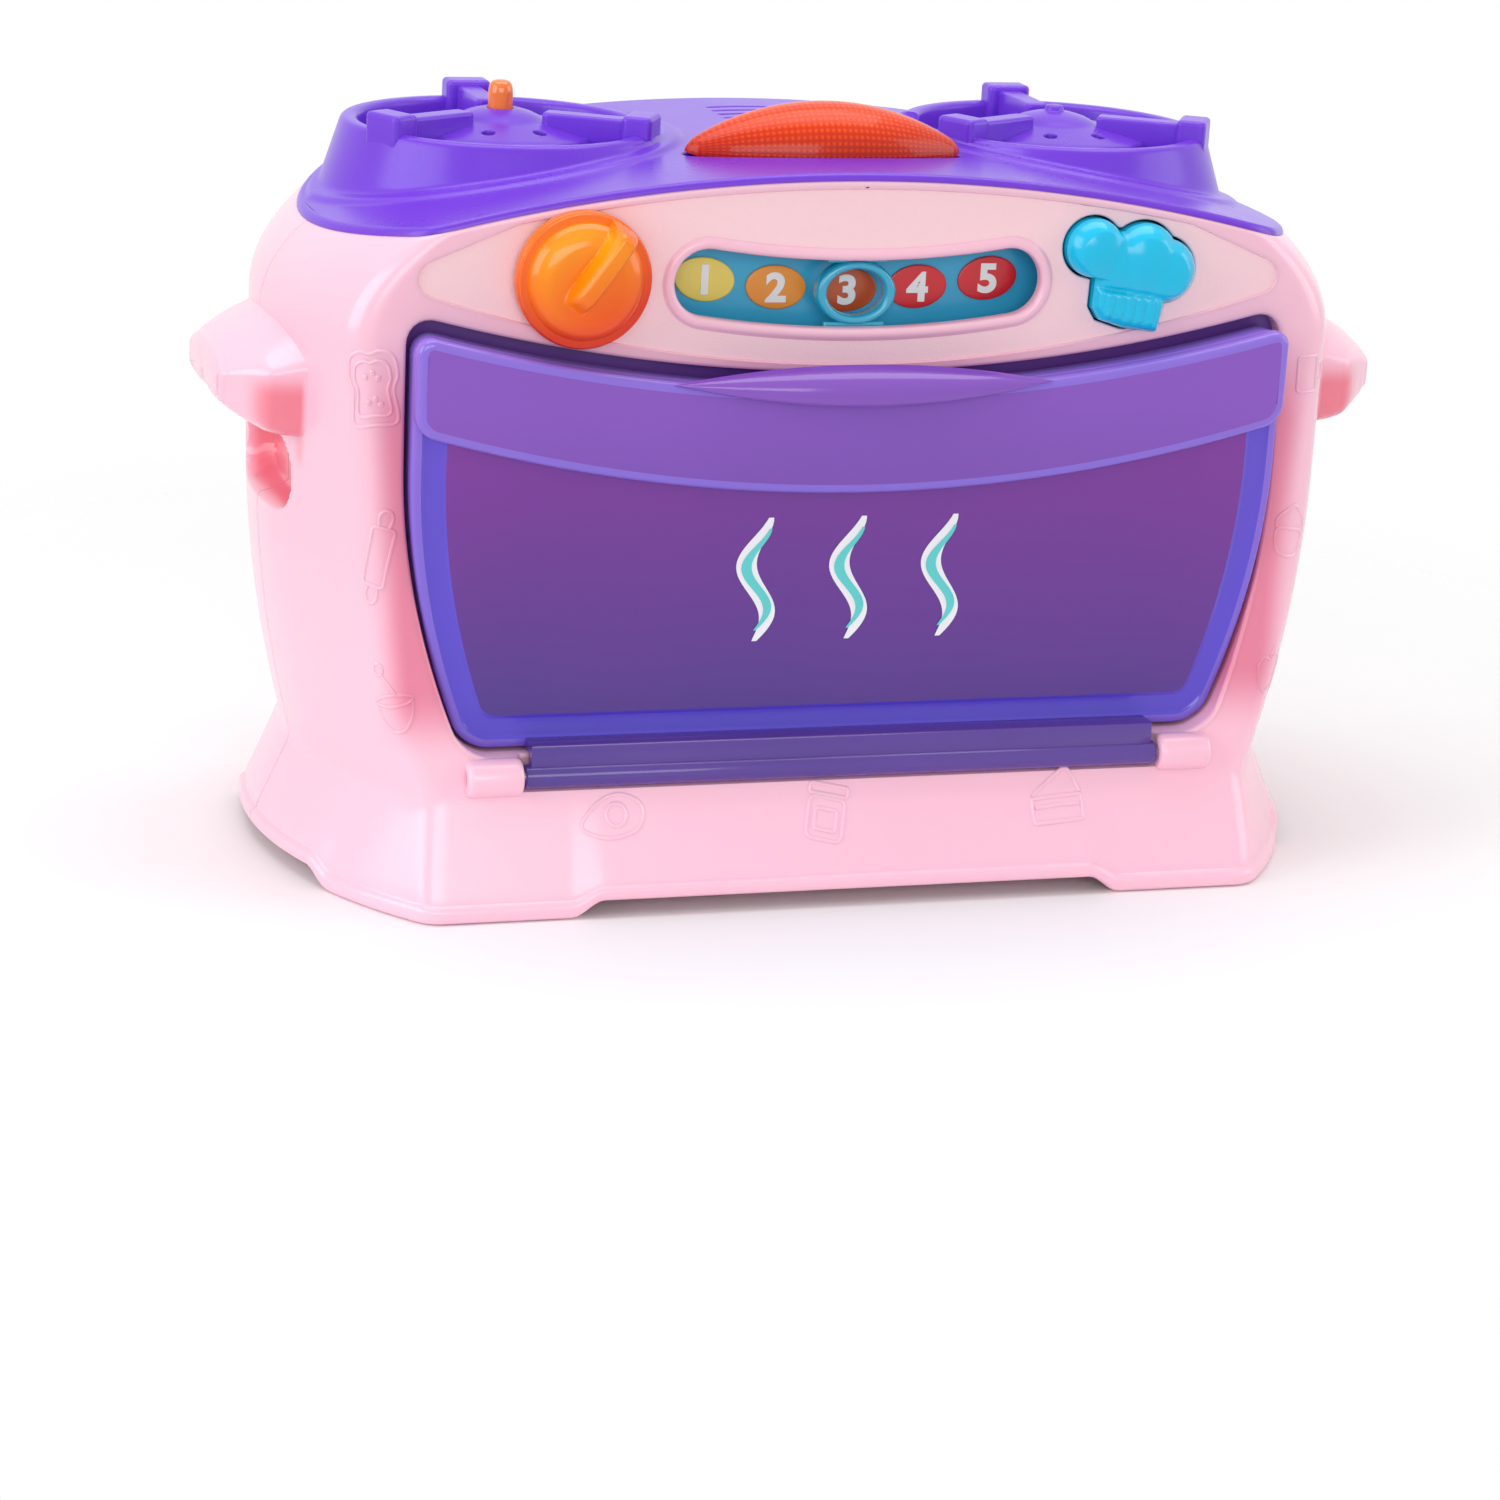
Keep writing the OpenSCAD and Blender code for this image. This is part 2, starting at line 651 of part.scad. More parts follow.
// Curved sound slot behind the lens
module speaker_slot(y) {
    translate([0, speaker_y - 17 + y, deck_z - 8]) intersection() {
        difference() {
            translate([0, -60, 0]) cylinder(r = 61, h = 16, $fn = 128);
            translate([0, -60, -1]) cylinder(r = 59.4, h = 18, $fn = 128);
        }
        box(-13, 13, -20, 20, -1, 20);
    }
}
module hob_screws() color("silver")
    for (p = hob_screw_spots) translate([p[0], p[1], hob_boss_z(p[0]) + 5.8]) mirror([0, 0, 1])
        screw(8);

// Cavity and boards

module oven_cavity() color([0.42, 0.24, 0.62]) {
    difference() {
        union() {
            box(-liner_half, liner_half, liner_y0, liner_y1, liner_z0, liner_z1);
            plate_y(liner_y0 - 1.6, liner_y0 + 0.1) offset(delta = wall) door_outline(0);
            for (x = [-34, 34]) for (y = [0, 30])
                translate([x, y, liner_z1 - 1]) cylinder(r = 3, h = board_z - liner_z1 + 1);
        }
        box(-liner_half + liner_t, liner_half - liner_t, liner_y0 - 9, liner_y1 - liner_t,
            liner_z0 + liner_t, liner_z1 - liner_t);
        for (x = [-34, 34]) for (y = [0, 30])
            translate([x, y, liner_z1]) cylinder(r = screw_r, h = 20);
        rod_y(plunger_x, liner_y0 - 3, liner_y0 + 1, plunger_z, 2.3);
        // Room for the hat button at the end of its travel
        at_hat() plate_y(liner_y0 - 3, liner_y0 + 1) hat_outline(0.5);
    }
}
module main_board() color([0.18, 0.45, 0.24]) difference() {
    box(-42, 42, -8, 38, board_z, board_z + 1.6);
    for (x = [-34, 34]) for (y = [0, 30])
        translate([x, y, board_z - 1]) cylinder(r = screw_r + 0.2, h = 4);
}
module board_parts() color([0.12, 0.12, 0.13]) {
    z = board_z + 1.6;
    translate([-12, 12, z]) cylinder(r = 7, h = 2.2);
    box(6, 18, 6, 16, z, z + 2.4);
    for (k = [0:2]) translate([-30 + k * 9, 26, z]) cylinder(r = 2.6, h = 7);
    box(24, 38, 16, 22, z, z + 6);
    for (k = [0:4]) box(4 + k * 4, 6 + k * 4, 24, 28, z, z + 1);
}
module board_screws() color("silver") for (x = [-34, 34]) for (y = [0, 30])
    translate([x, y, board_z + 1.6 - 6]) screw(6);

// Number slider

module number_tray() color([0.10, 0.52, 0.62]) {
    back = tray_floor_y + 2;
    difference() {
        plate_y(panel_y + wall + 0.2, back) arc_band(slide_r - 14.4, slide_r + 16, tray_half);
        plate_y(panel_y, tray_floor_y) arc_band(slide_r - 13, slide_r + 14.5, tray_half - 1.4);
        plate_y(panel_y, back + 1) arc_band(slide_r - 11.2, slide_r - 8.4, 44);
    }
}
module oval(rx, rz) {
    polygon([for (k = [0:35]) [rx * cos(k * 10), rz * sin(k * 10)]]);
}
// Turns its children along the slider's arc by a distance
module along_slide(x) {
    translate([0, 0, slide_z]) rotate([0, -asin(x / slide_r), 0]) translate([0, 0, -slide_r])
        children();
}
module number_ovals() for (k = [-2:2])
    color([[0.98, 0.80, 0.30], [0.96, 0.56, 0.18], [0.80, 0.30, 0.12], [0.86, 0.14, 0.16],
           [0.86, 0.12, 0.16]][k + 2])
    along_slide(k * number_step) plate_y(tray_floor_y - 0.4, tray_floor_y) oval(8.4, 6.8);
module slider_ring() color([0.16, 0.66, 0.76]) {
    difference() {
        union() {
            along_slide(0) plate_y(panel_y + 0.5, tray_floor_y - 1) oval(11.2, 8.7);
            plate_y(panel_y + wall + 0.8, panel_y + wall + 3)
                translate([-8.5, window_z - 13.4]) square([17, 25.4]);
        }
        plate_y(-far, far) translate([0, window_z]) oval(7.2, 5.6);
    }
    box(-2, 2, panel_y + wall + 2, tray_floor_y - 0.6, window_z + 8.8, window_z + 10.8);
}
module slider_contact() color([0.80, 0.66, 0.36])
    box(-1.5, 1.5, tray_floor_y - 0.6, tray_floor_y + 2.1, window_z + 8.9, window_z + 10.7);
module slider_board() color([0.18, 0.45, 0.24])
    plate_y(tray_floor_y + 2.2, tray_floor_y + 3.8) arc_band(slide_r - 13, slide_r + 12, tray_half - 8);

// Timer knob

module timer_knob() color([0.98, 0.55, 0.10]) translate([-control_x, 0, control_z]) {
    y0 = panel_y - 0.4;
    rod_y(0, y0 - 4, y0, 0, knob_r);
    translate([0, y0 - 4, 0]) rotate([90, 0, 0])
        cylinder(r1 = knob_r - 1.5, r2 = knob_r - 5, h = knob_h - 8);
    rotate([0, 35, 0]) box(-3.6, 3.6, y0 - knob_h, y0 - 4, -knob_r / 3, knob_r - 1);
    difference() {
        rod_y(0, y0, y0 + 22, 0, 6.4);
        rod_y(0, y0 + 12, y0 + 23, 0, 3);
        difference() {
            rod_y(0, panel_y + wall + 0.3, panel_y + wall + 1.5, 0, 7);
            rod_y(0, panel_y + wall + 0.1, panel_y + wall + 2.1, 0, 5.6);
        }
    }
}
// Spring clip in the groove of the knob's shaft, behind the panel
module knob_clip() color("silver") translate([-control_x, 0, control_z]) difference() {
    rod_y(0, panel_y + wall + 0.4, panel_y + wall + 1.4, 0, 9);
    rod_y(0, panel_y + 2, panel_y + 7, 0, 5.7);
    box(-4.6, 4.6, panel_y, panel_y + 9, -20, 0);
}
module rotary_switch() color([0.22, 0.22, 0.24]) translate([-control_x, 0, control_z]) {
    rod_y(0, switch_y - 15, switch_y, 0, 2.6);
    box(-7.5, 7.5, switch_y - 7.7, switch_y, -7.5, 7.5);
    difference() {
        box(-13, 13, switch_y, switch_y + 1.6, -14, 12);
        for (x = [-9, 9]) rod_y(x, switch_y - 1, switch_y + 3, -10, 1.2);
    }
}

// Hat button

// The two posts that carry the switch, which pass the button's flange
hat_post_x = 13.4;
hat_post_z = -9.5;
hat_post_r = 1.6;
module hat_button() color([0.25, 0.72, 0.88]) at_hat() {
    y = panel_y + wall + 0.3;
    plate_y(hat_y, y) hat_outline(0);
    plate_y(y, y + 1.4) difference() {
        intersection() {
            hat_outline(1.8);
            translate([-18, -13]) square([45, 28.2]);
        }
        for (s = [-1, 1]) translate([s * hat_post_x, hat_post_z]) circle(r = hat_post_r + 0.4);
    }
    for (s = [-1, 1]) rod_y(s * 8, y + 1.4, y + 3.6, 2, 1.6);
    rod_y(0, y + 1.4, y + 6, -8, 2.4);
}
module hat_springs() color("silver") at_hat() for (s = [-1, 1])
    translate([s * 8, panel_y + wall + 1.8, 2]) rotate([-90, 0, 0]) coil(2.3, 0.3, 8, 4);
module hat_switch() color([0.22, 0.22, 0.24]) at_hat() {
    y = panel_y + 12.5;
    box(-15, 15, y, y + 1.6, -15, 9);
    rod_y(0, y - 0.4, y, -8, 3.4);
    for (s = [-1, 1]) rod_y(s * hat_post_x, panel_y + wall + 0.4, y, hat_post_z, hat_post_r);
}

// Light

module light_lens() color([0.98, 0.38, 0.12]) difference() {
    union() {
        intersection() {
            lens_form(0);
            box(-far, far, -far, far, lens_rim_z + 1, far);
        }
        intersection() {
            lens_form(3.2);
            box(-far, far, -far, far, lens_rim_z, lens_rim_z + 1.2);
        }
    }
    lens_form(-1.8);
}
module light_tray() color([0.94, 0.94, 0.92]) difference() {
    box(-24, 24, lens_y - 10, lens_y + 10, deck_z - 17, lens_rim_z - 0.1);
    box(-22.6, 22.6, lens_y - 8.6, lens_y + 8.6, deck_z - 15.6, deck_z);
    for (x = [-14, 0, 14]) translate([x, lens_y, deck_z - 18]) cylinder(r = 2.6, h = 4);
}
module lamps() color([0.96, 0.96, 0.86]) for (x = [-14, 0, 14])
    translate([x, lens_y, deck_z - 17.1]) {
        cylinder(r = 2.5, h = 5);
        translate([0, 0, 5]) sphere(r = 2.5, $fn = 32);
        translate([0, 0, -1.5]) cylinder(r = 3.4, h = 1.5);
    }

// Press pin in the left burner

module press_pin() color([0.98, 0.50, 0.12]) burner_at(-1) {
    top = rim_z + 11;
    translate([0, 0, bowl_floor_z - 8]) cylinder(r = press_r, h = top - 2.2 - bowl_floor_z + 8);
    translate([0, 0, top - 2.2]) cylinder(r1 = press_r, r2 = press_r - 1.2, h = 2.2);
    translate([0, 0, bowl_floor_z - 4.2]) cylinder(r = press_r + 1.8, h = 1.6);
}
module pin_spring() color("silver") burner_at(-1)
    translate([0, 0, bowl_floor_z - 14.9]) coil(press_r + 0.7, 0.35, 10.6, 5);
module pin_switch() color([0.22, 0.22, 0.24]) burner_at(-1) {
    z = bowl_floor_z - 15;
    translate([0, 0, z]) cylinder(r = 1.8, h = 3);
    box(-12, 12, -8, 8, z - 3, z);
    for (s = [-1, 1]) translate([s * 9, 0, z]) cylinder(r = 2, h = 12.4);
}

// Speaker

module at_speaker() {
    translate([0, speaker_y, deck_z - 7]) children();
}
module speaker_frame() color([0.30, 0.30, 0.32]) at_speaker() difference() {
    union() {
        cylinder(r = speaker_r, h = 1.8);
        translate([0, 0, -6]) cylinder(r1 = 9, r2 = speaker_r - 2, h = 6);
    }
    translate([0, 0, -5]) cylinder(r1 = 8, r2 = speaker_r - 3, h = 7);
    translate([0, 0, -7]) cylinder(r = 5.6, h = 4);
}
module speaker_cone() color([0.12, 0.12, 0.12]) at_speaker() difference() {
    translate([0, 0, -4.7]) cylinder(r1 = 5.6, r2 = speaker_r - 3.6, h = 6);
    translate([0, 0, -3.9]) cylinder(r1 = 5, r2 = speaker_r - 4.2, h = 6.2);
}
module speaker_magnet() color("silver") at_speaker() translate([0, 0, -11]) cylinder(r = 8.5, h = 4.9);
module speaker_screws() color("silver") at_speaker() for (p = speaker_screw_spots)
    translate([p[0], p[1], 3.2]) mirror([0, 0, 1]) screw(3.3);

// Battery compartment

cover_screw_z = box_z0 + box_h - 5.5;
module battery_box() color([0.93, 0.66, 0.73]) difference() {
    union() {
        difference() {
            box(-box_x - 2, box_x + 2, box_y0 - 2, half_d - wall - 0.6, box_z0 - 2, box_z0 + box_h + 2);
            box(-box_x, box_x, box_y0, half_d, box_z0, box_z0 + box_h);
        }
        rod_y(0, box_y0 - 0.1, box_y1 - 3.1, cover_screw_z, 3.6);
    }
    rod_y(0, box_y0 + 4, box_y1, cover_screw_z, screw_r);
}
module battery_cover() color([0.97, 0.72, 0.78]) difference() {
    union() {
        box(-box_x + fit, box_x - fit, box_y1 + 0.6, half_d - 0.1, box_z0 + fit, box_z0 + box_h - fit);
        rod_y(0, box_y1 - 3, box_y1 + 0.7, cover_screw_z, 3.4);
    }
    rod_y(0, box_y1 - 4, half_d + 1, cover_screw_z, screw_r + 0.2);
    rod_y(0, half_d - 2, half_d + 1, cover_screw_z, 2.9);
}
module cover_screw() color("silver")
    translate([0, half_d - 12, cover_screw_z]) rotate([-90, 0, 0]) screw(10.1);
function cell_z(k) = box_z0 + 0.8 + cell_d / 2 + k * (cell_d + 0.2);
module cells() color([0.30, 0.32, 0.34]) for (k = [0:2]) {
    y = box_y0 + cell_d / 2 + 0.3;
    s = k % 2 == 0 ? 1 : -1;
    rod_x(-cell_l / 2, cell_l / 2, y, cell_z(k), cell_d / 2);
    rod_x(s > 0 ? cell_l / 2 : -cell_l / 2 - 1.4, s > 0 ? cell_l / 2 + 1.4 : -cell_l / 2, y, cell_z(k), 2.7);
}
module flat_contacts() color([0.80, 0.66, 0.36]) for (k = [0:2]) {
    y = box_y0 + cell_d / 2 + 0.3;
    s = k % 2 == 0 ? 1 : -1;
    x = s * (box_x - 0.5);
    box(x - 0.4, x + 0.4, y - 5, y + 5, cell_z(k) - 5, cell_z(k) + 5);
    box(s * (cell_l / 2 + 3) - 1.6, s * (cell_l / 2 + 3) + 1.6, y - 2, y + 2, cell_z(k) - 2,
        cell_z(k) + 2);
}
module contact_springs() color("silver") for (k = [0:2]) {
    y = box_y0 + cell_d / 2 + 0.3;
    s = k % 2 == 0 ? -1 : 1;
    gap = box_x - cell_l / 2;
    translate([s * (cell_l / 2 + 0.1), y, cell_z(k)]) rotate([0, s * 90, 0])
        coil(3.4, 0.4, gap - 0.2, 4);
}
module power_slider() color([0.95, 0.95, 0.95]) {
    box(-2.6, 2.6, half_d - 4, half_d - 0.2, power_z - 2.6, power_z + 2.6);
    box(-9.6, 9.6, half_d - wall - 1.6, half_d - wall - 0.3, power_z - 4.4, power_z + 4.4);
}
module power_switch() color([0.22, 0.22, 0.24]) {
    y = half_d - wall - 1.8;
    box(-15, 15, y - 6, y, power_z - 7, power_z + 7);
    for (s = [-1, 1]) box(s * 14 - 1, s * 14 + 1, y, half_d - wall - 0.1, power_z - 7, power_z + 7);
}

// Door

module door_panel() color([0.48, 0.34, 0.80, 0.8]) difference() {
    union() {
        plate_y(pane_y, pane_y + pane_t) leaf_outline();
        difference() {
            plate_y(pane_y - 1, door_back) leaf_outline();
            plate_y(pane_y - 2, far) offset(delta = -9) leaf_outline();
            plate_y(pane_y + 1.5, far) offset(delta = -2.4) leaf_outline();
        }
        plate_y(pane_y - 3.6, pane_y + 1) intersection() {
            leaf_outline();
            top_band();
        }
        lip();
        rod_x(-knuckle_x + 0.4, knuckle_x - 0.4, hinge_y, hinge_z, barrel_r);
        box(-knuckle_x + 2, knuckle_x - 2, hinge_y - 1.5, hinge_y + 1, hinge_z + 1, sill_z + 4);
        box(-knuckle_x + 2, knuckle_x - 2, hinge_y - 1.5, pane_y + 0.5, sill_z + door_gap, sill_z + 4);
    }
    rod_x(-far, far, hinge_y, hinge_z, pin_r + run_fit);
}
// Lower edge of the raised band across the top of the door
module top_band() {
    low = opening_top - 31;
    rise = 27;
    polygon(concat([for (k = [-8:8]) [k * half_w / 8, low + rise * k * k / 64]],
                   [[half_w, body_h], [-half_w, body_h]]));
}
// Crescent that the fingers pull
module lip() {
    r = 215;
    reach = 6.5;
    face = pane_y - 3.6;
    translate([0, r + face - reach, 0]) intersection() {
        cylinder(r = r, h = far, $fn = 256);
        translate([0, reach - face - r, 0]) plate_y(face - 10, face + 0.6) intersection() {
            translate([0, opening_top + 259]) circle(r = 265, $fn = 256);
            translate([0, opening_top - 277]) circle(r = 281, $fn = 256);
        }
    }
}
module door_film() color([0.95, 0.95, 1]) plate_y(pane_y - 0.3, pane_y - 0.05)
    translate([-70, opening_top - 78]) square([140, 44]);
module hinge_pin() color("silver")
    rod_x(-knuckle_x - 14, knuckle_x + 14, hinge_y, hinge_z, pin_r);

// Door switch

module door_plunger() color([0.93, 0.93, 0.93]) {
    rod_y(plunger_x, pane_y + pane_t + 0.1, liner_y0 + 8, plunger_z, 2);
    rod_y(plunger_x, liner_y0 + 3, liner_y0 + 4.4, plunger_z, 3.3);
}
module plunger_spring() color("silver")
    translate([plunger_x, liner_y0 + 4.5, plunger_z]) rotate([-90, 0, 0]) coil(2.6, 0.3, 6, 4);
module door_switch() color([0.22, 0.22, 0.24]) {
    difference() {
        box(plunger_x - 4.5, plunger_x + 4.5, liner_y0 + 0.2, liner_y0 + 16, plunger_z - 7,
            plunger_z + 7);
        rod_y(plunger_x, liner_y0 - 1, liner_y0 + 10.6, plunger_z, 3.6);
    }
}

// Leads

lead_r = 0.8;
module battery_leads() color([0.75, 0.10, 0.10]) for (k = [-1, 1])
    lead([[k * 3, box_y0 - 3, box_z0 + box_h - 4], [k * 3, box_y0 - 3, board_z + 2],
          [8 + k * 3, box_y0 - 9, board_z + 7], [20 + k * 3, 40, board_z + 8],
          [21 + k * 3, 33, board_z + 5], [21 + k * 3, 32, board_z + 1.7]], lead_r);
module speaker_leads() color([0.12, 0.12, 0.12]) for (k = [-1, 1])
    lead([[k * 3, speaker_y - 4, deck_z - 18.2], [k * 3, speaker_y - 8, deck_z - 24],
          [k * 3 - 14, 38, board_z + 12], [k * 3 - 24, 34, board_z + 6],
          [k * 3 - 25, 33, board_z + 1.7]], lead_r);
module lamp_leads() color([0.90, 0.80, 0.20]) for (k = [-1, 1])
    lead([[k * 14, lens_y, deck_z - 18.8], [k * 14, lens_y + 1, deck_z - 24],
          [k * 15, -2, board_z + 10], [k * 16, -1, board_z + 5], [k * 16, 0, board_z + 1.7]], lead_r);
module panel_leads() color([0.20, 0.35, 0.75]) {
    lead([[-control_x, switch_y + 2.5, control_z - 6], [-control_x, switch_y + 6, control_z - 10],
          [-60, switch_y + 14, board_z + 10], [-42, 2, board_z + 7], [-38, 6, board_z + 5],
          [-37, 7, board_z + 1.7]], lead_r);
    lead([[control_x - 4, panel_y + 15, control_z - 8], [control_x - 5, panel_y + 20, control_z - 12],
          [60, panel_y + 44, board_z + 10], [42, 2, board_z + 7], [38, 6, board_z + 5],
          [37, 7, board_z + 1.7]], lead_r);
}

front_shell();
rear_shell();
hob_top();
base_plate();
oven_cavity();
number_tray();
number_ovals();
slider_ring();
slider_contact();
slider_board();
timer_knob();
knob_clip();
rotary_switch();
hat_button();
hat_springs();
hat_switch();
light_lens();
light_tray();
lamps();
press_pin();
pin_spring();
pin_switch();
speaker_frame();
speaker_cone();
speaker_magnet();
main_board();
board_parts();
battery_box();
battery_cover();
cover_screw();
cells();
flat_contacts();
contact_springs();
power_slider();
power_switch();
door_panel();
door_film();
hinge_pin();
door_plunger();
plunger_spring();
door_switch();
battery_leads();
speaker_leads();
lamp_leads();
panel_leads();
shell_screws();
hob_screws();
base_screws();
board_screws();
speaker_screws();
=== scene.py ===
# %% [markdown]
# # A toy oven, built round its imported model
# Lengths in this script are millimetres until a mesh is made, because the real toy is
# drawn in millimetres. X runs to the viewer's right, the front faces -Y and Z is up.
# The CAD model comes in first. It fixes every place and every joint, and the pieces made
# here either dress one of its nodes or stand for one whose moulded form is richer.
# The places that several cells share are named here: the middles of the knob and the hat button,
# the arc of the smile-shaped window, and the seam with the finger recesses beside it.

# %% Load the fixed model
import json

import bmesh
import bpy
import numpy as np
from mathutils import Matrix, Vector

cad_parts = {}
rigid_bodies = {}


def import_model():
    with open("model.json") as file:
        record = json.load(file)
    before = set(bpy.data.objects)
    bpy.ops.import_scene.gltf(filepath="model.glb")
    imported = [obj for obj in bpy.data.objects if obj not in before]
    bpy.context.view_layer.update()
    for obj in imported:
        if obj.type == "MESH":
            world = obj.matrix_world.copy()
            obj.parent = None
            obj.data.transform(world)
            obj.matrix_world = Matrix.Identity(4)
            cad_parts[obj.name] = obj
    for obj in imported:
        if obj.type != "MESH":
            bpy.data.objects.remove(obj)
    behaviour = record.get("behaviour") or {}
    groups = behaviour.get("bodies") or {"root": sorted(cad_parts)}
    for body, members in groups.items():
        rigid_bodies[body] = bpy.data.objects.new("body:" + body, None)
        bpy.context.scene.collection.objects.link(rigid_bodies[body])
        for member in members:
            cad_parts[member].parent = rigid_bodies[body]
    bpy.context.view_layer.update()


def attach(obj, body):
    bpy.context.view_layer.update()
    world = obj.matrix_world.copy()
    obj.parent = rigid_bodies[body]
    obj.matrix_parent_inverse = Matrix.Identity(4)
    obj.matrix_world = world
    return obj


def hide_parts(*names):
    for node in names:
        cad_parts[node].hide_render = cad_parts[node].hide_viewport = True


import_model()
MM = 0.001
CONTROL_X, CONTROL_Z = 76.5, 167.5
SMILE_R, SMILE_Z = 270.0, 432.5
SEAM_Y, GRIP_X, SCOOP_R, SCOOP_HALF, SCOOP_Z = 3.5, 130.0, 11.0, 16.0, 108.5

# %% [markdown]
# ## Small tools for meshes
# Nearly every moulding is a stack of closed rings: an outline that is carried through a
# profile. Two kinds of faces cover them all: the skin between neighbouring rings, and a
# fan or a patch that closes an end. Working on whole arrays keeps this quick.


# %% Mesh tools
def ramp(t):
    """The value held between 0 and 1."""
    return np.clip(t, 0.0, 1.0)


def ease(t):
    """Smooth step: 3 t squared less 2 t cubed, held between 0 and 1."""
    t = ramp(t)
    return t * t * (3.0 - 2.0 * t)


def skin(rows, cols, wrap=True):
    """Quads between rows of points, each row cols long; wrap joins a row's two ends."""
    across = cols if wrap else cols - 1
    i, j = np.meshgrid(np.arange(rows - 1), np.arange(across), indexing="ij")
    k = (j + 1) % cols
    quads = np.stack([i * cols + j, i * cols + k, (i + 1) * cols + k, (i + 1) * cols + j], -1)
    return quads.reshape(-1, 4)


def put(name, points, faces, finish, body, replaces=(), slot=None, sharp=38.0, solid=True):
    """A mesh piece from points in millimetres and rows of three or four indices.

    Points that no face uses are left out and twin points are merged. A solid piece has its faces
    turned outwards.
    """
    points = np.asarray(points, float).reshape(-1, 3)
    used, corners = np.unique(np.concatenate([f.ravel() for f in faces]), return_inverse=True)
    mesh = bpy.data.meshes.new(name)
    mesh.vertices.add(len(used))
    mesh.vertices.foreach_set("co", (points[used] * MM).ravel())
    counts = np.concatenate([np.full(len(f), f.shape[1]) for f in faces])
    mesh.loops.add(len(corners))
    mesh.loops.foreach_set("vertex_index", corners.astype(np.int32))
    mesh.polygons.add(len(counts))
    starts = np.concatenate([[0], np.cumsum(counts)[:-1]]).astype(np.int32)
    mesh.polygons.foreach_set("loop_start", starts)
    mesh.update(calc_edges=True)
    mesh.validate()
    work = bmesh.new()
    work.from_mesh(mesh)
    bmesh.ops.remove_doubles(work, verts=work.verts, dist=4e-6)
    bmesh.ops.dissolve_degenerate(work, edges=work.edges, dist=1e-6)
    if solid:
        bmesh.ops.recalc_face_normals(work, faces=work.faces)
    work.to_mesh(mesh)
    work.free()
    mesh.shade_smooth()
    mesh.set_sharp_from_angle(angle=np.radians(sharp))
    piece = bpy.data.objects.new(name, mesh)
    bpy.context.scene.collection.objects.link(piece)
    mesh.materials.append(finish)
    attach(piece, body)
    if replaces:
        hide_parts(*replaces)
    print(name, len(mesh.polygons), "faces")


def stack(rings, closed=True):
    """Points and faces of a stack of rings (m, n, 3), with a fan to the middle of each end."""
    rings = np.asarray(rings, float)
    m, n, _ = rings.shape
    points = rings.reshape(-1, 3)
    faces = [skin(m, n)]
    if closed:
        ends = np.array([rings[0].mean(0), rings[-1].mean(0)])
        points = np.vstack([points, ends])
        j = np.arange(n)
        k = (j + 1) % n
        last = (m - 1) * n
        faces.append(np.stack([k, j, np.full(n, m * n)], -1))
        faces.append(np.stack([last + j, last + k, np.full(n, m * n + 1)], -1))
    return points, faces


def join(*parts):
    """Several (points, faces) pairs as one."""
    points, faces, start = [], [], 0
    for p, f in parts:
        points.append(p)
        faces += [g + start for g in f]
        start += len(p)
    return np.vstack(points), faces


def flip(part):
    """A part with its faces turned over."""
    points, faces = part
    return points, [f[:, ::-1] for f in faces]


def outward(loop):
    """Outward unit normals of a closed loop (n, 2) that runs anticlockwise."""
    t = np.roll(loop, -1, 0) - np.roll(loop, 1, 0)
    t /= np.maximum(np.linalg.norm(t, axis=1, keepdims=True), 1e-9)
    return np.stack([t[:, 1], -t[:, 0]], -1)


def resample(loop, count, closed=True):
    """The loop or line as count points at equal distances along it."""
    line = np.vstack([loop, loop[:1]]) if closed else np.asarray(loop, float)
    d = np.concatenate([[0], np.cumsum(np.linalg.norm(np.diff(line, axis=0), axis=1))])
    s = np.linspace(0, d[-1], count, endpoint=not closed)
    return np.stack([np.interp(s, d, line[:, k]) for k in range(line.shape[1])], -1)


def inside(x, z, loop):
    """Whether points lie inside a loop: a ray to the right crosses it an odd number of times."""
    hit = np.zeros(np.shape(x), bool)
    for (x0, z0), (x1, z1) in zip(loop, np.roll(loop, -1, 0)):
        if z0 == z1:
            continue
        across = (z0 > z) != (z1 > z)
        hit ^= across & (x < x0 + (z - z0) * (x1 - x0) / (z1 - z0))
    return hit


def nearest(points, loop):
    """The nearest points of a closed loop."""
    a = loop[None]
    ab = np.roll(loop, -1, 0)[None] - a
    t = ramp(((points[:, None] - a) * ab).sum(-1) / np.maximum((ab ** 2).sum(-1), 1e-12))
    foot = a + ab * t[..., None]
    best = np.linalg.norm(foot - points[:, None], axis=-1).argmin(1)
    return foot[np.arange(len(points)), best]


def cut(flat, quads, loop, keep_inside=False):
    """Drops the quads on the wrong side of a loop and pulls the new edge onto it.

    flat holds the points' two plane coordinates and is changed in place.
    """
    middle = flat[quads].mean(1)
    near = (np.abs(middle - loop.mean(0)) < np.ptp(loop, axis=0) / 2 + 30).all(1)
    drop = np.zeros(len(quads), bool)
    drop[near] = inside(middle[near, 0], middle[near, 1], loop)
    if keep_inside:
        drop = ~drop
    kept = quads[~drop]
    edge = np.intersect1d(np.unique(kept), np.unique(quads[drop]))
    if len(edge):
        flat[edge] = nearest(flat[edge], loop)
    return kept


def lathe_x(profile, y0, z0, count=64):
    """Closed piece of revolution about a level axis from (x, radius) pairs."""
    a = np.linspace(0, 2 * np.pi, count, endpoint=False)
    return stack([np.stack([np.full(count, x), y0 + r * np.cos(a), z0 + r * np.sin(a)], -1)
                  for x, r in profile])


print("mesh tools ready")

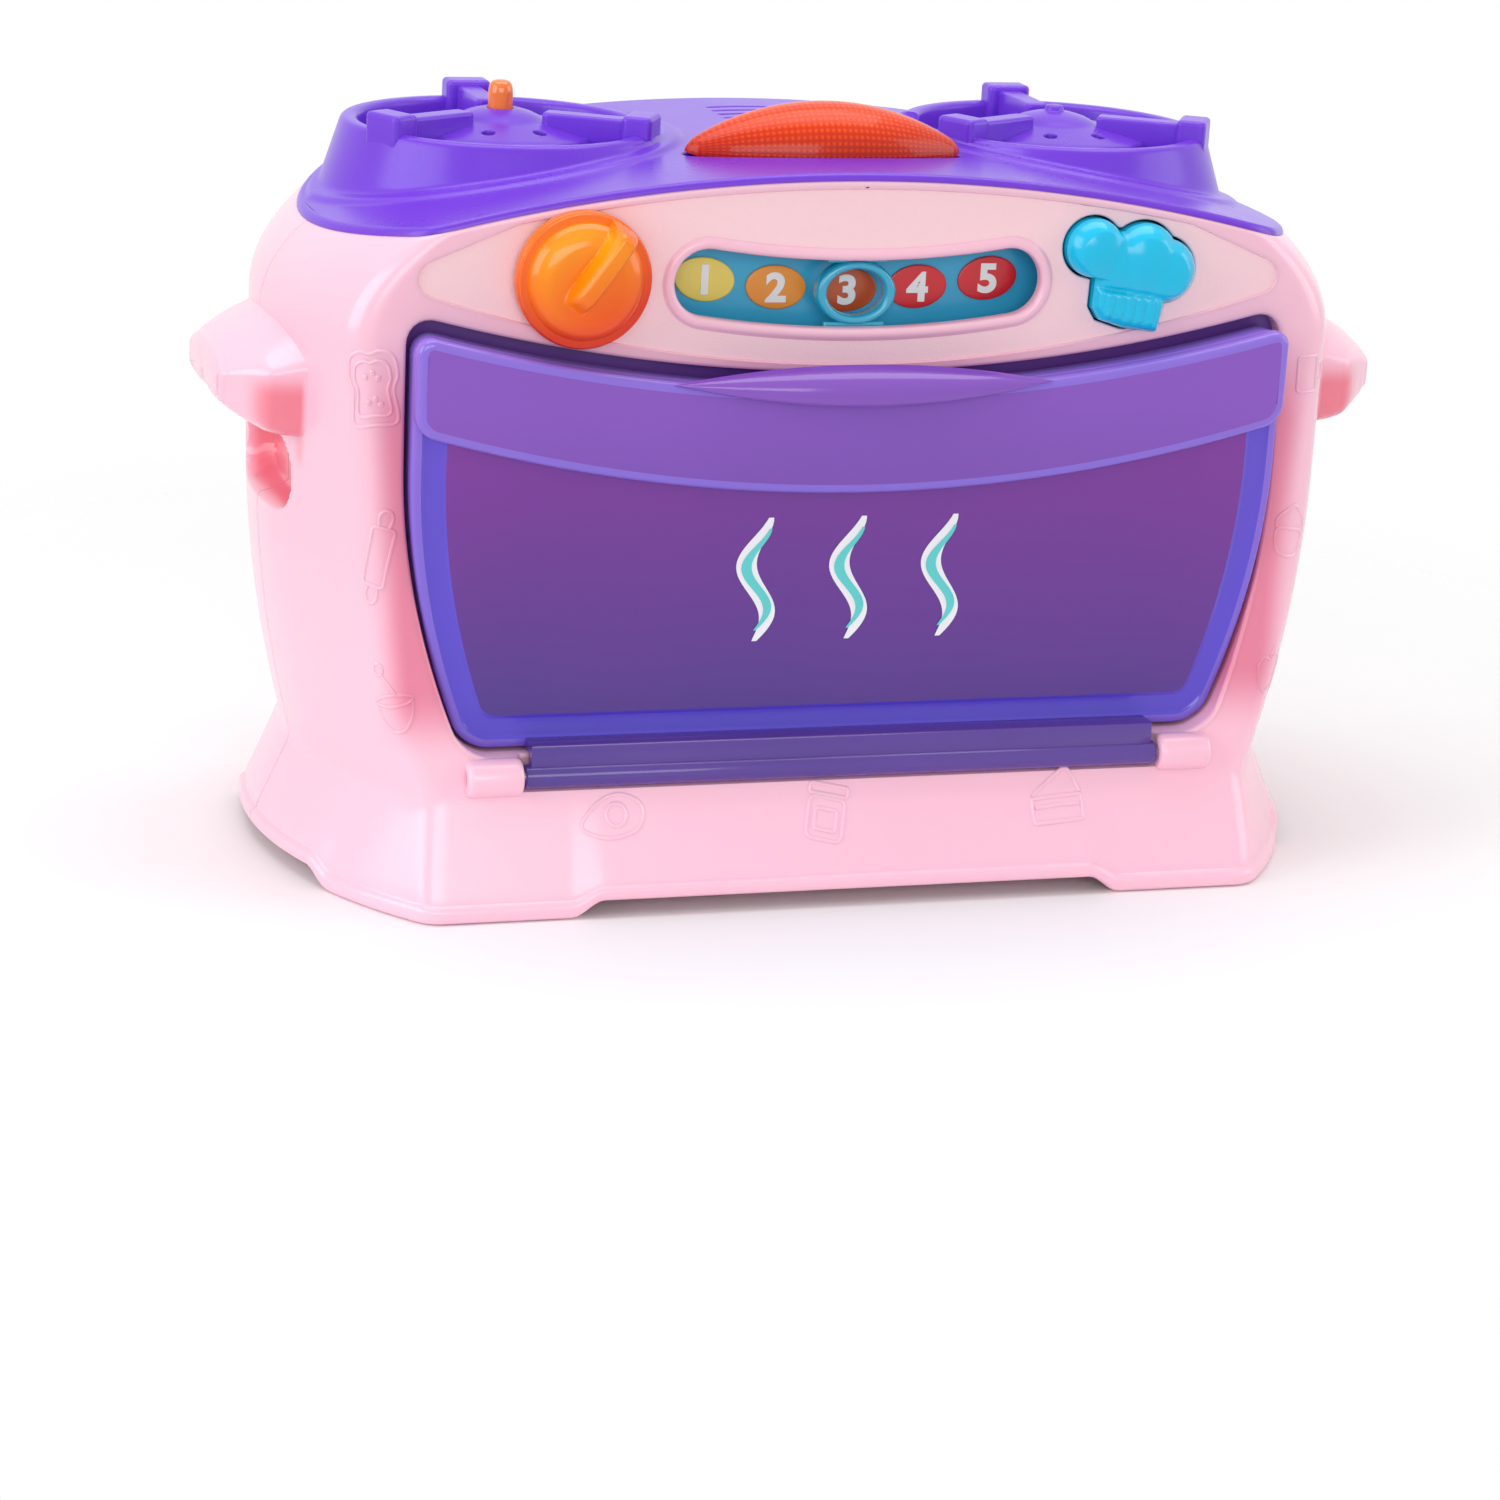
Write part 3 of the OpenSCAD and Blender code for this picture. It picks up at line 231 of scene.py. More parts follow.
# %% [markdown]
# ## Finishes
# Moulded toy plastic is a clear coat over a body colour: sharp soft-box highlights, a very
# slight waviness from the mould, and tiny differences in gloss from place to place.
# `Wire` lets shader maths be written as plain sums, and `Finish` holds one material.


# %% Shader tools
class Wire:
    """A shader socket that can stand in sums; each operation adds one Math node."""

    def __init__(self, finish, socket):
        self.finish, self.socket = finish, socket

    def maths(self, operation, *others):
        """One Math node with this socket first."""
        return self.finish.node("ShaderNodeMath", {"operation": operation}, [self, *others])

    def __add__(self, other):
        return self.maths("ADD", other)

    def __mul__(self, other):
        return self.maths("MULTIPLY", other)

    def __sub__(self, other):
        return self.maths("SUBTRACT", other)

    def __rsub__(self, other):
        return self.finish.node("ShaderNodeMath", {"operation": "SUBTRACT"}, [other, self])

    def __gt__(self, other):
        return self.maths("GREATER_THAN", other)

    def __lt__(self, other):
        return self.maths("LESS_THAN", other)

    def over(self, start, end, low=0.0, high=1.0, shape="LINEAR"):
        """low where the value is at start, high where it is at end, in a straight line between."""
        settings = {"clamp": True, "interpolation_type": shape}
        places = {"Value": self, "From Min": start, "From Max": end, "To Min": low, "To Max": high}
        return self.finish.node("ShaderNodeMapRange", settings, places)

    def eased(self, start, end, low=0.0, high=1.0):
        """The same as over, with a smooth step between."""
        return self.over(start, end, low, high, "SMOOTHSTEP")

    def spread(self, low, high):
        """A value from 0 to 1 stretched to run from low to high."""
        return self.over(0.0, 1.0, low, high)


class Finish:
    """One material: a Principled surface, with constants set on its own sockets."""

    def __init__(self, name, **constants):
        self.material = bpy.data.materials.new(name)
        self.material.use_nodes = True
        self.tree = self.material.node_tree
        self.surface = self.tree.nodes["Principled BSDF"]
        for key, value in constants.items():
            self.surface.inputs[key.replace("_", " ")].default_value = value

    def node(self, kind, settings=(), inputs=(), output=0):
        """Adds a node; inputs is a list by place or a dictionary by name."""
        made = self.tree.nodes.new(kind)
        for key, value in dict(settings).items():
            setattr(made, key, value)
        pairs = inputs.items() if isinstance(inputs, dict) else enumerate(inputs)
        for key, value in pairs:
            if isinstance(value, Wire):
                self.tree.links.new(value.socket, made.inputs[key])
            else:
                made.inputs[key].default_value = value
        return Wire(self, made.outputs[output])

    def feed(self, name, wire):
        """Links a wire to one of the surface's own sockets."""
        self.tree.links.new(wire.socket, self.surface.inputs[name])

    def place(self):
        """Object coordinates, so that a texture stays with its piece."""
        return self.node("ShaderNodeTexCoord", output="Object")

    def noise(self, scale, detail=3.0, rough=0.5, place=None):
        """Cloudy noise from 0 to 1; scale is in waves per metre."""
        inputs = {"Vector": place or self.place(), "Scale": scale, "Detail": detail, "Roughness": rough}
        return self.node("ShaderNodeTexNoise", (), inputs)

    def axes(self):
        """The three object coordinates as wires, in metres."""
        parts = self.tree.nodes.new("ShaderNodeSeparateXYZ")
        self.tree.links.new(self.place().socket, parts.inputs[0])
        return [Wire(self, s) for s in parts.outputs]

    def mix(self, factor, a, b):
        """Two colours mixed by a factor."""
        made = self.tree.nodes.new("ShaderNodeMix")
        made.data_type = "RGBA"
        for key, value in ((0, factor), (6, a), (7, b)):
            if isinstance(value, Wire):
                self.tree.links.new(value.socket, made.inputs[key])
            else:
                made.inputs[key].default_value = value if key == 0 else (*value, 1.0)
        return Wire(self, made.outputs[2])

    def bump(self, height, strength, distance):
        """Fine relief: height in steps of distance, in metres."""
        wire = self.node("ShaderNodeBump", (),
                         {"Strength": strength, "Distance": distance, "Height": height})
        self.feed("Normal", wire)


def srgb(r, g, b):
    """Screen colour from 0 to 255 as linear light."""
    c = np.array([r, g, b]) / 255.0
    return tuple(float(v) for v in np.where(c <= 0.04045, c / 12.92, ((c + 0.055) / 1.055) ** 2.4))


def beside_door(f):
    """From 0 to 1 across the narrow posts beside the door, where the pink lies in the door's own shade."""
    x, y, z = f.axes()
    near = (x.maths("ABSOLUTE") + (0.118 - z) * 0.06).eased(0.1325, 0.1235)
    return near * z.eased(0.04, 0.06) * z.eased(0.155, 0.125) * (y < -0.03) * 0.85


def under_hand(f):
    """From 0 to 1 on a grip's front face and in the hollow below it, where a redder painted shade goes."""
    x, y, z = f.axes()
    aside, up = x.maths("ABSOLUTE"), z - SCOOP_Z * MM
    front = y.eased(-0.0235, -0.030) * aside.eased(0.1435, 0.1455)
    grip_face = front * z.eased(0.1395, 0.132) * z.eased(0.112, 0.116)
    past = ((y - SEAM_Y * MM).maths("ABSOLUTE") - SCOOP_HALF * MM).maths("MAXIMUM", 0.0)
    hollow = (past * past + up * up).maths("SQRT").eased(0.0112, 0.0085) * (aside > GRIP_X * MM)
    return grip_face * 0.8 + hollow * (1 - front) * 0.9


def moulded(name, colour, deep, rough=0.22, coat=0.35, wave=0.06, grain=0.0, shade=None, **constants):
    """Moulded plastic: body colour with faint flow marks, uneven gloss and a soft waviness."""
    f = Finish(name, Coat_Weight=coat, Coat_Roughness=0.16, **constants)
    flow = f.noise(9.0, 2.0)
    tone = f.mix(flow.spread(-0.15, 0.75), colour, deep)
    if shade:
        # Painted shade: darker pink beside the door, and a redder painted shade on the grips' front faces
        # and in the hollows under them.
        tone = f.mix(under_hand(f), f.mix(beside_door(f), tone, shade), srgb(236, 104, 124))
    f.feed("Base Color", tone)
    f.feed("Roughness", f.noise(60.0, 2.0).spread(rough * 0.9, rough * 1.12))
    height = f.noise(14.0, 1.0) * wave
    if grain:
        height = height + f.noise(1700.0, 2.0, 0.6) * grain
    f.bump(height, 0.35, 0.0006)
    return f.material


print("shader tools ready")

# %% [markdown]
# The colours come from the photograph's evenly lit patches. Pink and purple are the body's
# two mouldings. The control panel's sunk field has a fine spark-eroded grain, which is why
# it looks chalkier than the glossy edge around it.

# %% Body finishes
pink = moulded("pink_gloss", srgb(253, 198, 216), srgb(250, 184, 206), rough=0.24, coat=0.3,
               shade=srgb(228, 112, 144), Subsurface_Weight=0.15, Subsurface_Scale=0.005,
               Subsurface_Radius=(1.0, 0.35, 0.4))
pink_grain = moulded("pink_grained", srgb(254, 214, 220), srgb(252, 206, 213), rough=0.5, coat=0.0,
                     wave=0.05, grain=0.5)
purple = moulded("purple_gloss", srgb(118, 58, 212), srgb(102, 46, 198), rough=0.28, coat=0.1,
                 Specular_IOR_Level=0.35, Subsurface_Weight=0.1, Subsurface_Scale=0.003,
                 Subsurface_Radius=(0.5, 0.3, 1.0))
orange = moulded("orange_gloss", srgb(248, 128, 20), srgb(240, 98, 12), rough=0.16, coat=0.6,
                 Subsurface_Weight=0.2, Subsurface_Scale=0.004, Subsurface_Radius=(1.0, 0.5, 0.1))


def knob_material():
    """Translucent orange with painted light: golden towards the upper left, redder towards the lower right,
    and redder again on the flange.
    """
    f = Finish("knob_orange", Coat_Weight=0.3, Coat_Roughness=0.1, Specular_IOR_Level=0.25,
               Subsurface_Weight=0.25, Subsurface_Scale=0.004, Subsurface_Radius=(1.0, 0.45, 0.08))
    x, _, z = f.axes()
    aside, up = x + CONTROL_X * MM, z - CONTROL_Z * MM
    # Painted light: the factor runs from the lower right, painted red, to the upper left, painted golden.
    lower = (up - aside * 0.35).over(-0.012, 0.013)
    outer = (aside * aside + up * up).maths("SQRT").eased(0.0118, 0.0178)
    dome = f.mix(lower, srgb(244, 84, 0), srgb(255, 160, 8))
    f.feed("Base Color", f.mix(outer, dome, f.mix(lower, srgb(222, 50, 12), srgb(248, 116, 18))))
    f.feed("Roughness", f.noise(60.0).spread(0.12, 0.18))
    f.bump(f.noise(14.0, 1.0), 0.05, 0.0006)
    return f.material


knob_orange = knob_material()
hat_blue = moulded("hat_blue", srgb(0, 198, 236), srgb(0, 178, 224), rough=0.16, coat=0.4,
                   Specular_IOR_Level=0.25, Subsurface_Weight=0.2, Subsurface_Scale=0.003,
                   Subsurface_Radius=(0.2, 0.6, 1.0))
ring_teal = moulded("ring_teal", srgb(30, 172, 206), srgb(18, 150, 188), rough=0.14, coat=0.7)
liner_violet = moulded("liner_violet", srgb(104, 58, 150), srgb(88, 46, 134), rough=0.35, coat=0.15)
tray_teal = moulded("tray_teal", srgb(60, 180, 222), srgb(38, 156, 204), rough=0.3, coat=0.2)
print("body finishes ready")

# %% [markdown]
# The door is clear violet plastic. Real clear plastic this deep in colour passes little light, so each
# of its parts here is mostly surface colour with a share of plain see-through. Light is painted into that
# colour:
# it is lighter towards the top, the walls seen end on get a bluer, stronger painted tone in place of the
# long light path, and the rolled edges a brighter painted highlight.

# %% Clear and printed finishes


def clear_violet(name, low, high, alpha, rough=0.12):
    """Tinted clear plastic whose tone runs with height, darker below and lighter above as painted light,
    with faint flow marks from the gate.
    """
    f = Finish(name, Coat_Weight=0.25, Coat_Roughness=0.05, IOR=1.45)
    _, _, z = f.axes()
    flow = f.noise(7.0, 2.0) * 0.5
    f.feed("Base Color", f.mix(z.over(0.05, 0.135) * 0.8 + flow - 0.12, low, high))
    f.feed("Roughness", f.noise(30.0, 3.0).spread(rough * 0.8, rough * 1.4))
    f.surface.inputs["Alpha"].default_value = alpha
    f.bump(f.noise(16.0, 2.0), 0.12, 0.0006)
    return f.material


# The deep tone is painted for walls seen end on; the edge tone is a brighter painted highlight for the
# rolled edges.
door_clear = clear_violet("door_clear", srgb(66, 46, 142), srgb(144, 54, 170), 0.88)
door_deep = clear_violet("door_deep", srgb(84, 66, 206), srgb(104, 78, 212), 0.95)
door_edge_highlight = clear_violet("door_edge_highlight", srgb(118, 94, 216), srgb(146, 112, 224), 0.93)
door_violet = clear_violet("door_violet", srgb(70, 50, 136), srgb(142, 84, 200), 0.95)


def lens_material():
    """Orange-red lens with rows of fine prisms that run round its long axis, with painted light and shade:
    darker red in the prism grooves and lower down, brighter orange towards the top.
    """
    f = Finish("lens_red", Coat_Weight=0.3, Coat_Roughness=0.08, Specular_IOR_Level=0.15,
               Subsurface_Weight=0.25, Subsurface_Scale=0.006, Subsurface_Radius=(1.0, 0.3, 0.08))
    x, y, z = f.axes()
    rows = ((z - 0.1942).maths("ARCTAN2", 0 - y - 0.012) * 46.0).maths("SINE")
    ribs = (x * 3900.0).maths("SINE")
    prism = (rows * 0.5 + 0.5) * (ribs * 0.5 + 0.5)
    # Painted light and shade: the top is painted brighter orange, and the grooves and lower part darker red.
    top_light = z.over(0.1945, 0.204)
    groove_shade = f.mix(top_light, srgb(180, 24, 2), srgb(226, 56, 6))
    f.feed("Base Color", f.mix(prism * 0.8, groove_shade, f.mix(top_light, srgb(226, 52, 2), srgb(252, 104, 16))))
    f.feed("Roughness", f.noise(60.0).spread(0.22, 0.32))
    f.bump(prism, 0.3, 0.0003)
    return f.material


lens_red = lens_material()


def printed(name, colour):
    """Flat ink with a faint speckle."""
    f = Finish(name, Coat_Weight=0.3, Coat_Roughness=0.1)
    f.feed("Base Color", f.mix(f.noise(900.0, 2.0) * 0.25, colour, tuple(0.86 * c for c in colour)))
    f.feed("Roughness", f.noise(80.0).spread(0.3, 0.4))
    return f.material


oval_prints = [printed(f"ink_{k}", srgb(*c)) for k, c in enumerate(
    ((255, 226, 104), (250, 156, 48), (206, 84, 30), (226, 30, 44), (224, 26, 42)))]
figure_white = printed("ink_white", (0.97, 0.97, 0.97))
film_white = printed("film_white", (0.86, 0.86, 0.9))
film_teal = printed("film_teal", srgb(90, 205, 205))
print("clear and printed finishes ready")

# %% [markdown]
# ## Body form
# Both shells come from one form. At each height the outline is a flat front and back, two
# sides bowed on a 120 mm radius, and four small corner arcs. The half width and the two faces
# vary with height: a flared foot with a bead lip, a drawn-in waist, and a shoulder that
# rolls in under an arched top. The real shells are injection moulded, so the waist is softened here
# by a blur of the height profile, as a toolmaker would blend it.

# %% Body form
HALF_W, HALF_D, BODY_H = 150.0, 75.0, 193.0
WAIST_Z, BULGE_Z, SHOULDER_Z = 30.0, 110.0, 150.0
ARCH = 0.00107
SIDE_R, SIDE_Y, CORNER_R = 120.0, 8.0, 9.0
PANEL_Y, SILL_Z = -50.0, 41.5
HINGE_Y, HINGE_Z, KNUCKLE_X = -62.5, 36.5, 90.0
FOOT_RISE = 4.6


def softened(form, blur=2.0):
    """A height profile after a Gaussian blur, looked up from a table at quarter millimetres."""
    z = np.arange(-30.0, 240.0, 0.25)
    k = np.exp(-0.5 * (np.arange(-40, 41) * 0.25 / blur) ** 2)
    table = np.convolve(form(z), k / k.sum(), mode="same")
    return lambda at: np.interp(at, z, table)


def rest(z, top):
    """What is left of the way from the waist up to a level, squared."""
    return (1 - ramp((z - WAIST_Z) / (top - WAIST_Z))) ** 2


def flare(z):
    """How far the foot's slope has come up, from 0 at 5 mm to 1 at the waist."""
    return ramp((z - 5.0) / 25.0)


side_in = softened(lambda z: np.where(z < WAIST_Z, 1.4 + 9.6 * flare(z), 11 * rest(z, BULGE_Z)))
front_in = softened(lambda z: np.where(z < WAIST_Z, 1.4 + 9.6 * flare(z), 25 - 14 * rest(z, 170.0)))
rear_in = softened(lambda z: np.where(z < WAIST_Z, 1.4 + 5 * flare(z), 6.4 * rest(z, 60.0)))


def arch(x):
    """Height of the pink top edge at a distance from the middle."""
    return BODY_H - ARCH * x * x


def foot_bead(z):
    """Round lip along the bottom edge, 5 mm high: a rounded hump on the flared foot."""
    return 1.4 * ramp(1 - np.abs((z - 2.5) / 2.6) ** 3.5)


def foot_line(x, y):
    """Bottom edge: raised between the corner feet, with an S-shaped rise beside each."""
    along_front = ease((78.0 - np.abs(x)) / 9.0)
    along_side = ease((44.0 - np.abs(y)) / 9.0)
    return FOOT_RISE * np.maximum(along_front, along_side * (np.abs(x) > 125))


def wall_points(s, row, t, front):
    """Points on the body wall, drawn in by t.

    s runs from the middle of the face (0) to the corner (1), round it (2) and along the bowed side
    to the seam (3), with its sign for left or right. row is the height before it follows
    the foot line and the arched top.
    """
    sign, a = np.sign(s), np.abs(s)
    z = row + 0 * s
    for _ in range(4):
        shoulder = 0.022 * np.maximum(z - SHOULDER_Z, 0) ** 2
        w = HALF_W + foot_bead(row) - t - side_in(row) - shoulder
        rs, r, ax = SIDE_R - t, CORNER_R - t, w - SIDE_R + t
        if front:
            y = -HALF_D + front_in(np.minimum(z, row)) - foot_bead(row) + t
            cy, start, end = y + r, -np.pi / 2, (SEAM_Y - 0.1 - SIDE_Y) / rs
        else:
            y = HALF_D - rear_in(row) + foot_bead(row) - t
            cy, start, end = y - r, np.pi / 2, (SEAM_Y + 0.1 - SIDE_Y) / rs
        cx = ax + np.sqrt((rs - r) ** 2 - (cy - SIDE_Y) ** 2)
        join_at = np.arctan2(cy - SIDE_Y, cx - ax)
        on_corner = start + (join_at - start) * ramp(a - 1)
        on_side = join_at + (np.arcsin(end) - join_at) * ramp(a - 2)
        px = np.where(a < 1, cx * a, np.where(a < 2, cx + r * np.cos(on_corner), ax + rs * np.cos(on_side)))
        py = np.where(a < 1, y, np.where(a < 2, cy + r * np.sin(on_corner), SIDE_Y + rs * np.sin(on_side)))
        top = arch(px) - 0.1
        foot = foot_line(px, py)
        upper = BULGE_Z + (row - BULGE_Z) * (top - BULGE_Z) / (BODY_H - BULGE_Z)
        lower = foot + row * (WAIST_Z - foot) / WAIST_Z
        z = np.where(row < WAIST_Z, lower, np.where(row > BULGE_Z, upper, row))
    return np.stack([sign * px, py + 0 * px, z], -1)


def face_y(x, z):
    """Front face at a place, with the trough behind the hinge barrel."""
    y = -HALF_D + front_in(z)
    below = HINGE_Y + np.sqrt(np.maximum(17.6 - np.minimum(z - HINGE_Z, 0) ** 2, 0))
    behind = np.where(z > HINGE_Z - 4.2, below, -99.0)
    return np.where((np.abs(x) < KNUCKLE_X + 0.2) & (z < SILL_Z + 3.0), np.maximum(y, behind), y)


def rear_y(x, z):
    """Back face at a height; it is level across."""
    return HALF_D - rear_in(z)


LOW_EDGE = [(6.0, 2.5), (0.5, 2.5), (0.0, 2.0), (0.0, 0.8), (0.25, 0.25), (0.8, 0.0)]
TOP_EDGE = [(191.8, 0.0), (192.4, 0.12), (192.8, 0.4), (193.0, 0.9), (193.0, 2.5), (189.0, 2.5)]
ROWS = np.array(LOW_EDGE + [(z, 0.0) for z in np.concatenate(
    [np.arange(1.2, 6.0, 0.4), np.arange(6.4, 44, 0.9), np.arange(44.5, 95, 1.4), np.arange(95.5, 120, 0.5),
     np.arange(120.9, 139, 1.4), np.arange(139.4, 150, 0.35), np.arange(150.6, 184, 1.4),
     np.arange(184.6, 191.6, 0.6)])] + TOP_EDGE)


def columns(face_step):
    """Places along one half of the wall, and how far each is drawn in beside the seam."""
    s = np.concatenate([np.linspace(0, 1, int(122 / face_step), endpoint=False),
                        np.linspace(1, 2, 9, endpoint=False), np.linspace(2, 2.72, 32, endpoint=False),
                        np.linspace(2.72, 2.996, 20), [2.999, 3.0, 3.0]])
    t = np.concatenate([np.zeros(len(s) - 3), [0.12, 0.4, 2.5]])
    return np.concatenate([-s[:0:-1], s]), np.concatenate([t[:0:-1], t])


def scoop(points):
    """Finger recess under each grip: an oval hollow, 8.5 mm deep, whose wall is a 4.5 mm smooth step."""
    x, y, z = points[..., 0], points[..., 1], points[..., 2]
    reach = np.hypot(np.maximum(np.abs(y - SEAM_Y) - SCOOP_HALF, 0), z - SCOOP_Z)
    points[..., 0] -= np.sign(x) * 8.5 * ease((SCOOP_R - reach) / 4.5) * (np.abs(x) > GRIP_X)
    return points


print("body form:", ROWS.shape[0], "rows")

# %% [markdown]
# Outlines are drawn in front view. Holes get a rim: a narrow strip that starts tangent to the
# face, rolls over and runs straight back, which is how a moulded edge catches the light.


# %% Outlines and rims
def trim(line, length):
    """An open line without a length at either end."""
    d = np.concatenate([[0], np.cumsum(np.linalg.norm(np.diff(line, axis=0), axis=1))])
    s = np.linspace(length, d[-1] - length, len(line))
    return np.stack([np.interp(s, d, line[:, 0]), np.interp(s, d, line[:, 1])], -1)


def soften(sides, radius, count=400):
    """A closed outline from open sides drawn one after another, with round corners between."""
    cut_back = [trim(np.asarray(s, float), radius) for s in sides]
    t = np.linspace(0, 1, 12)[1:-1, None]
    out = []
    for side, near, after in zip(sides, cut_back, cut_back[1:] + cut_back[:1]):
        corner, p0, p3 = np.asarray(side[-1]), near[-1], after[0]
        p1, p2 = p0 + 0.55 * (corner - p0), p3 + 0.55 * (corner - p3)
        curve = (1 - t) ** 3 * p0 + 3 * (1 - t) ** 2 * t * p1 + 3 * (1 - t) * t ** 2 * p2 + t ** 3 * p3
        out += [near, curve]
    return resample(np.vstack(out), count)


def door_loop(gap, top_gap, radius, count=400):
    """Outline of the door opening drawn in by gap, and by top_gap more along the top."""
    low = SILL_Z + gap

    def half(z):
        """Half width, which narrows as a parabola below 118 mm."""
        return 122 - 0.0028 * np.maximum(0, 118 - z) ** 2 - gap

    def crown(x):
        """Top edge, which rises towards the corners."""
        return 141.8 + 0.0011 * x * x - gap - top_gap

    z = np.linspace(low, crown(122 - gap), 60)
    right = np.stack([half(z), z], -1)
    x = np.linspace(122 - gap, -122 + gap, 120)
    left = right[::-1] * [-1, 1]
    bottom = np.stack([np.linspace(-half(low), half(low), 80), np.full(80, low)], -1)
    return soften([right, np.stack([x, crown(x)], -1), left, bottom], radius, count)


def box_loop(x0, x1, z0, z1, radius, count=120):
    """Rectangle with round corners."""
    corners = [(x1, z0), (x1, z1), (x0, z1), (x0, z0)]
    sides = zip(corners, corners[1:] + corners[:1])
    return soften([np.linspace(a, b, 20) for a, b in sides], radius, count)


def circle_loop(x, z, r, count=72):
    """Circle about a middle."""
    a = np.linspace(0, 2 * np.pi, count, endpoint=False)
    return np.stack([x + r * np.cos(a), z + r * np.sin(a)], -1)


def strip(loop, surface, profile):
    """Rings round a loop; the profile lists how far out of it and how far behind the surface."""
    away = outward(loop)
    rings = []
    for grow, behind in profile:
        at = loop + away * grow
        rings.append(np.stack([at[:, 0], surface(at[:, 0], at[:, 1]) + behind, at[:, 1]], -1))
    return stack(rings, closed=False)


def rim(loop, surface, roll, back, out=1.0):
    """Strip round a hole: a quarter roll from the face, then a wall straight back to a depth.

    surface gives y at (x, z); out is 1 where the wall runs towards +Y and -1 towards -Y.
    """
    a = np.radians(np.linspace(0, 90, 6))
    tucked = [(roll + 0.5, out * 0.2)]
    rolled = strip(loop, surface, tucked + list(zip(roll * (1 - np.sin(a)), out * roll * (1 - np.cos(a)))))
    wall = stack([rolled[0][-len(loop):], np.stack([loop[:, 0], np.full(len(loop), back), loop[:, 1]], -1)],
                 closed=False)
    return join(rolled, wall)


print("outlines ready")

# %% [markdown]
# ## Front shell
# The pink front moulding has the door opening with its deep jamb, the almond-shaped sunk panel
# for the controls, a smile-shaped window, a hole the shape of the hat button, a
# trough for the hinge barrel and two knuckles. The sunk panel is its own patch, since it has a finer grain.

# %% Front shell
TIP = 119.5


def panel_low(x):
    """Lower edge of the sunk panel: a parabola that rises 19.6 mm to either tip."""
    return BODY_H - 48.95 + 19.6 * (x / TIP) ** 2


def panel_high(x):
    """Upper edge: it follows the arched top and falls in a straight line near either tip."""
    return np.minimum(arch(x) - 2.3, BODY_H - 22.6 + 0.42 * (TIP - np.abs(x)))


def panel_loop(grow=0.0):
    """The almond, grown outwards, with its two tips rounded."""
    x = np.linspace(-TIP, TIP, 240)
    low, high = np.stack([x, panel_low(x)], -1), np.stack([x, panel_high(x)], -1)
    end = np.stack([np.full(20, TIP), np.linspace(panel_low(TIP), panel_high(TIP), 20)], -1)
    raw = soften([low, end, high[::-1], end[::-1] * [-1, 1]], 3.3, 700)
    return raw + outward(raw) * grow


def window_loop():
    """Smile-shaped slot, 18 mm high along its arc, with round ends."""
    h, reach = 9.0, np.arcsin(42 / SMILE_R)
    a = np.linspace(-reach, reach, 60)
    low, high = (np.stack([r * np.sin(a), SMILE_Z - r * np.cos(a)], -1) for r in (SMILE_R + h, SMILE_R - h))
    b = np.linspace(0, np.pi, 26)[1:-1]

    def end(side):
        """Half circle at one end, turned to meet the arc."""
        mid = np.array([side * 42.0, SMILE_Z - SMILE_R * np.cos(reach)])
        start = b + side * (reach - np.pi / 2)
        return mid + h * np.stack([np.cos(start), np.sin(start)], -1)

    return resample(np.vstack([low, end(1), high[::-1], end(-1)]), 420)


def ray_reach(x, y, angles, loop):
    """How far a ray from a point goes, at each angle, before it meets a loop."""
    d = np.stack([np.cos(angles), np.sin(angles)], -1)[:, None]
    a = (loop - [x, y])[None]
    e = (np.roll(loop, -1, 0) - loop)[None]
    cross = d[..., 0] * e[..., 1] - d[..., 1] * e[..., 0]
    cross = np.where(np.abs(cross) < 1e-9, 1e-9, cross)
    t = (a[..., 0] * e[..., 1] - a[..., 1] * e[..., 0]) / cross
    u = (a[..., 0] * d[..., 1] - a[..., 1] * d[..., 0]) / cross
    return np.where((u >= 0) & (u <= 1) & (t > 0), t, 1e6).min(1)


HAT_LEAN = np.radians(8)
HAT_PUFFS = ((-12.2, 6, 8), (-4.5, 4, 7.6), (2.5, 5.2, 9.6), (9.3, 2.8, 8.6))


def hat_points(grow, offset=(CONTROL_X, CONTROL_Z), count=300):
    """Hat outline in front view: the outer edge of four puffs and a band, seen from its middle."""
    a = np.linspace(0, 2 * np.pi, 1440, endpoint=False)
    d = np.stack([np.cos(a), np.sin(a)], -1)
    reach = np.zeros(len(a))
    for cx, cz, r in HAT_PUFFS:
        along = d[:, 0] * cx + d[:, 1] * cz
        inner = (r + grow) ** 2 - (cx * cx + cz * cz - along ** 2)
        reach = np.maximum(reach, np.where(inner > 0, along + np.sqrt(np.maximum(inner, 0)), 0))
    g = grow
    band = np.array([(-10.6 - g, 0), (-9.6 - g, -10), (-7 - 0.6 * g, -13 - 0.8 * g), (0, -14.2 - g),
                     (10 + g, -14.2 - g), (10.9 + g, -4), (8, 0)])
    reach = np.maximum(reach, np.where(d[:, 1] < 0, ray_reach(0, 0, a, band), 0))
    reach = np.convolve(np.concatenate([reach[-6:], reach, reach[:6]]), np.ones(13) / 13, mode="valid")
    shape = resample(d * reach[:, None], count)
    c, s = np.cos(HAT_LEAN), np.sin(HAT_LEAN)
    return np.stack([offset[0] + shape[:, 0] * c + shape[:, 1] * s,
                     offset[1] - shape[:, 0] * s + shape[:, 1] * c], -1)


def shell_grid(front):
    """Grid of one shell's outer skin with its edges: points and quads.

    On the front, the face is pushed back where the trough behind the hinge barrel lies.
    """
    s, t = columns(1.4)
    points = wall_points(s[None, :], ROWS[:, :1], ROWS[:, 1:] + t[None, :], front)
    if front:
        on_face = (np.abs(s)[None, :] <= 1) & (ROWS[:, 1:] == 0)
        deep = face_y(points[..., 0], points[..., 2])
        trough = np.maximum(points[..., 1], np.where(deep > -60, deep, -99))
        points[..., 1] = np.where(on_face, trough, points[..., 1])
    points = scoop(points)
    m, n = points.shape[:2]
    return points.reshape(-1, 3), skin(m, n, wrap=False)


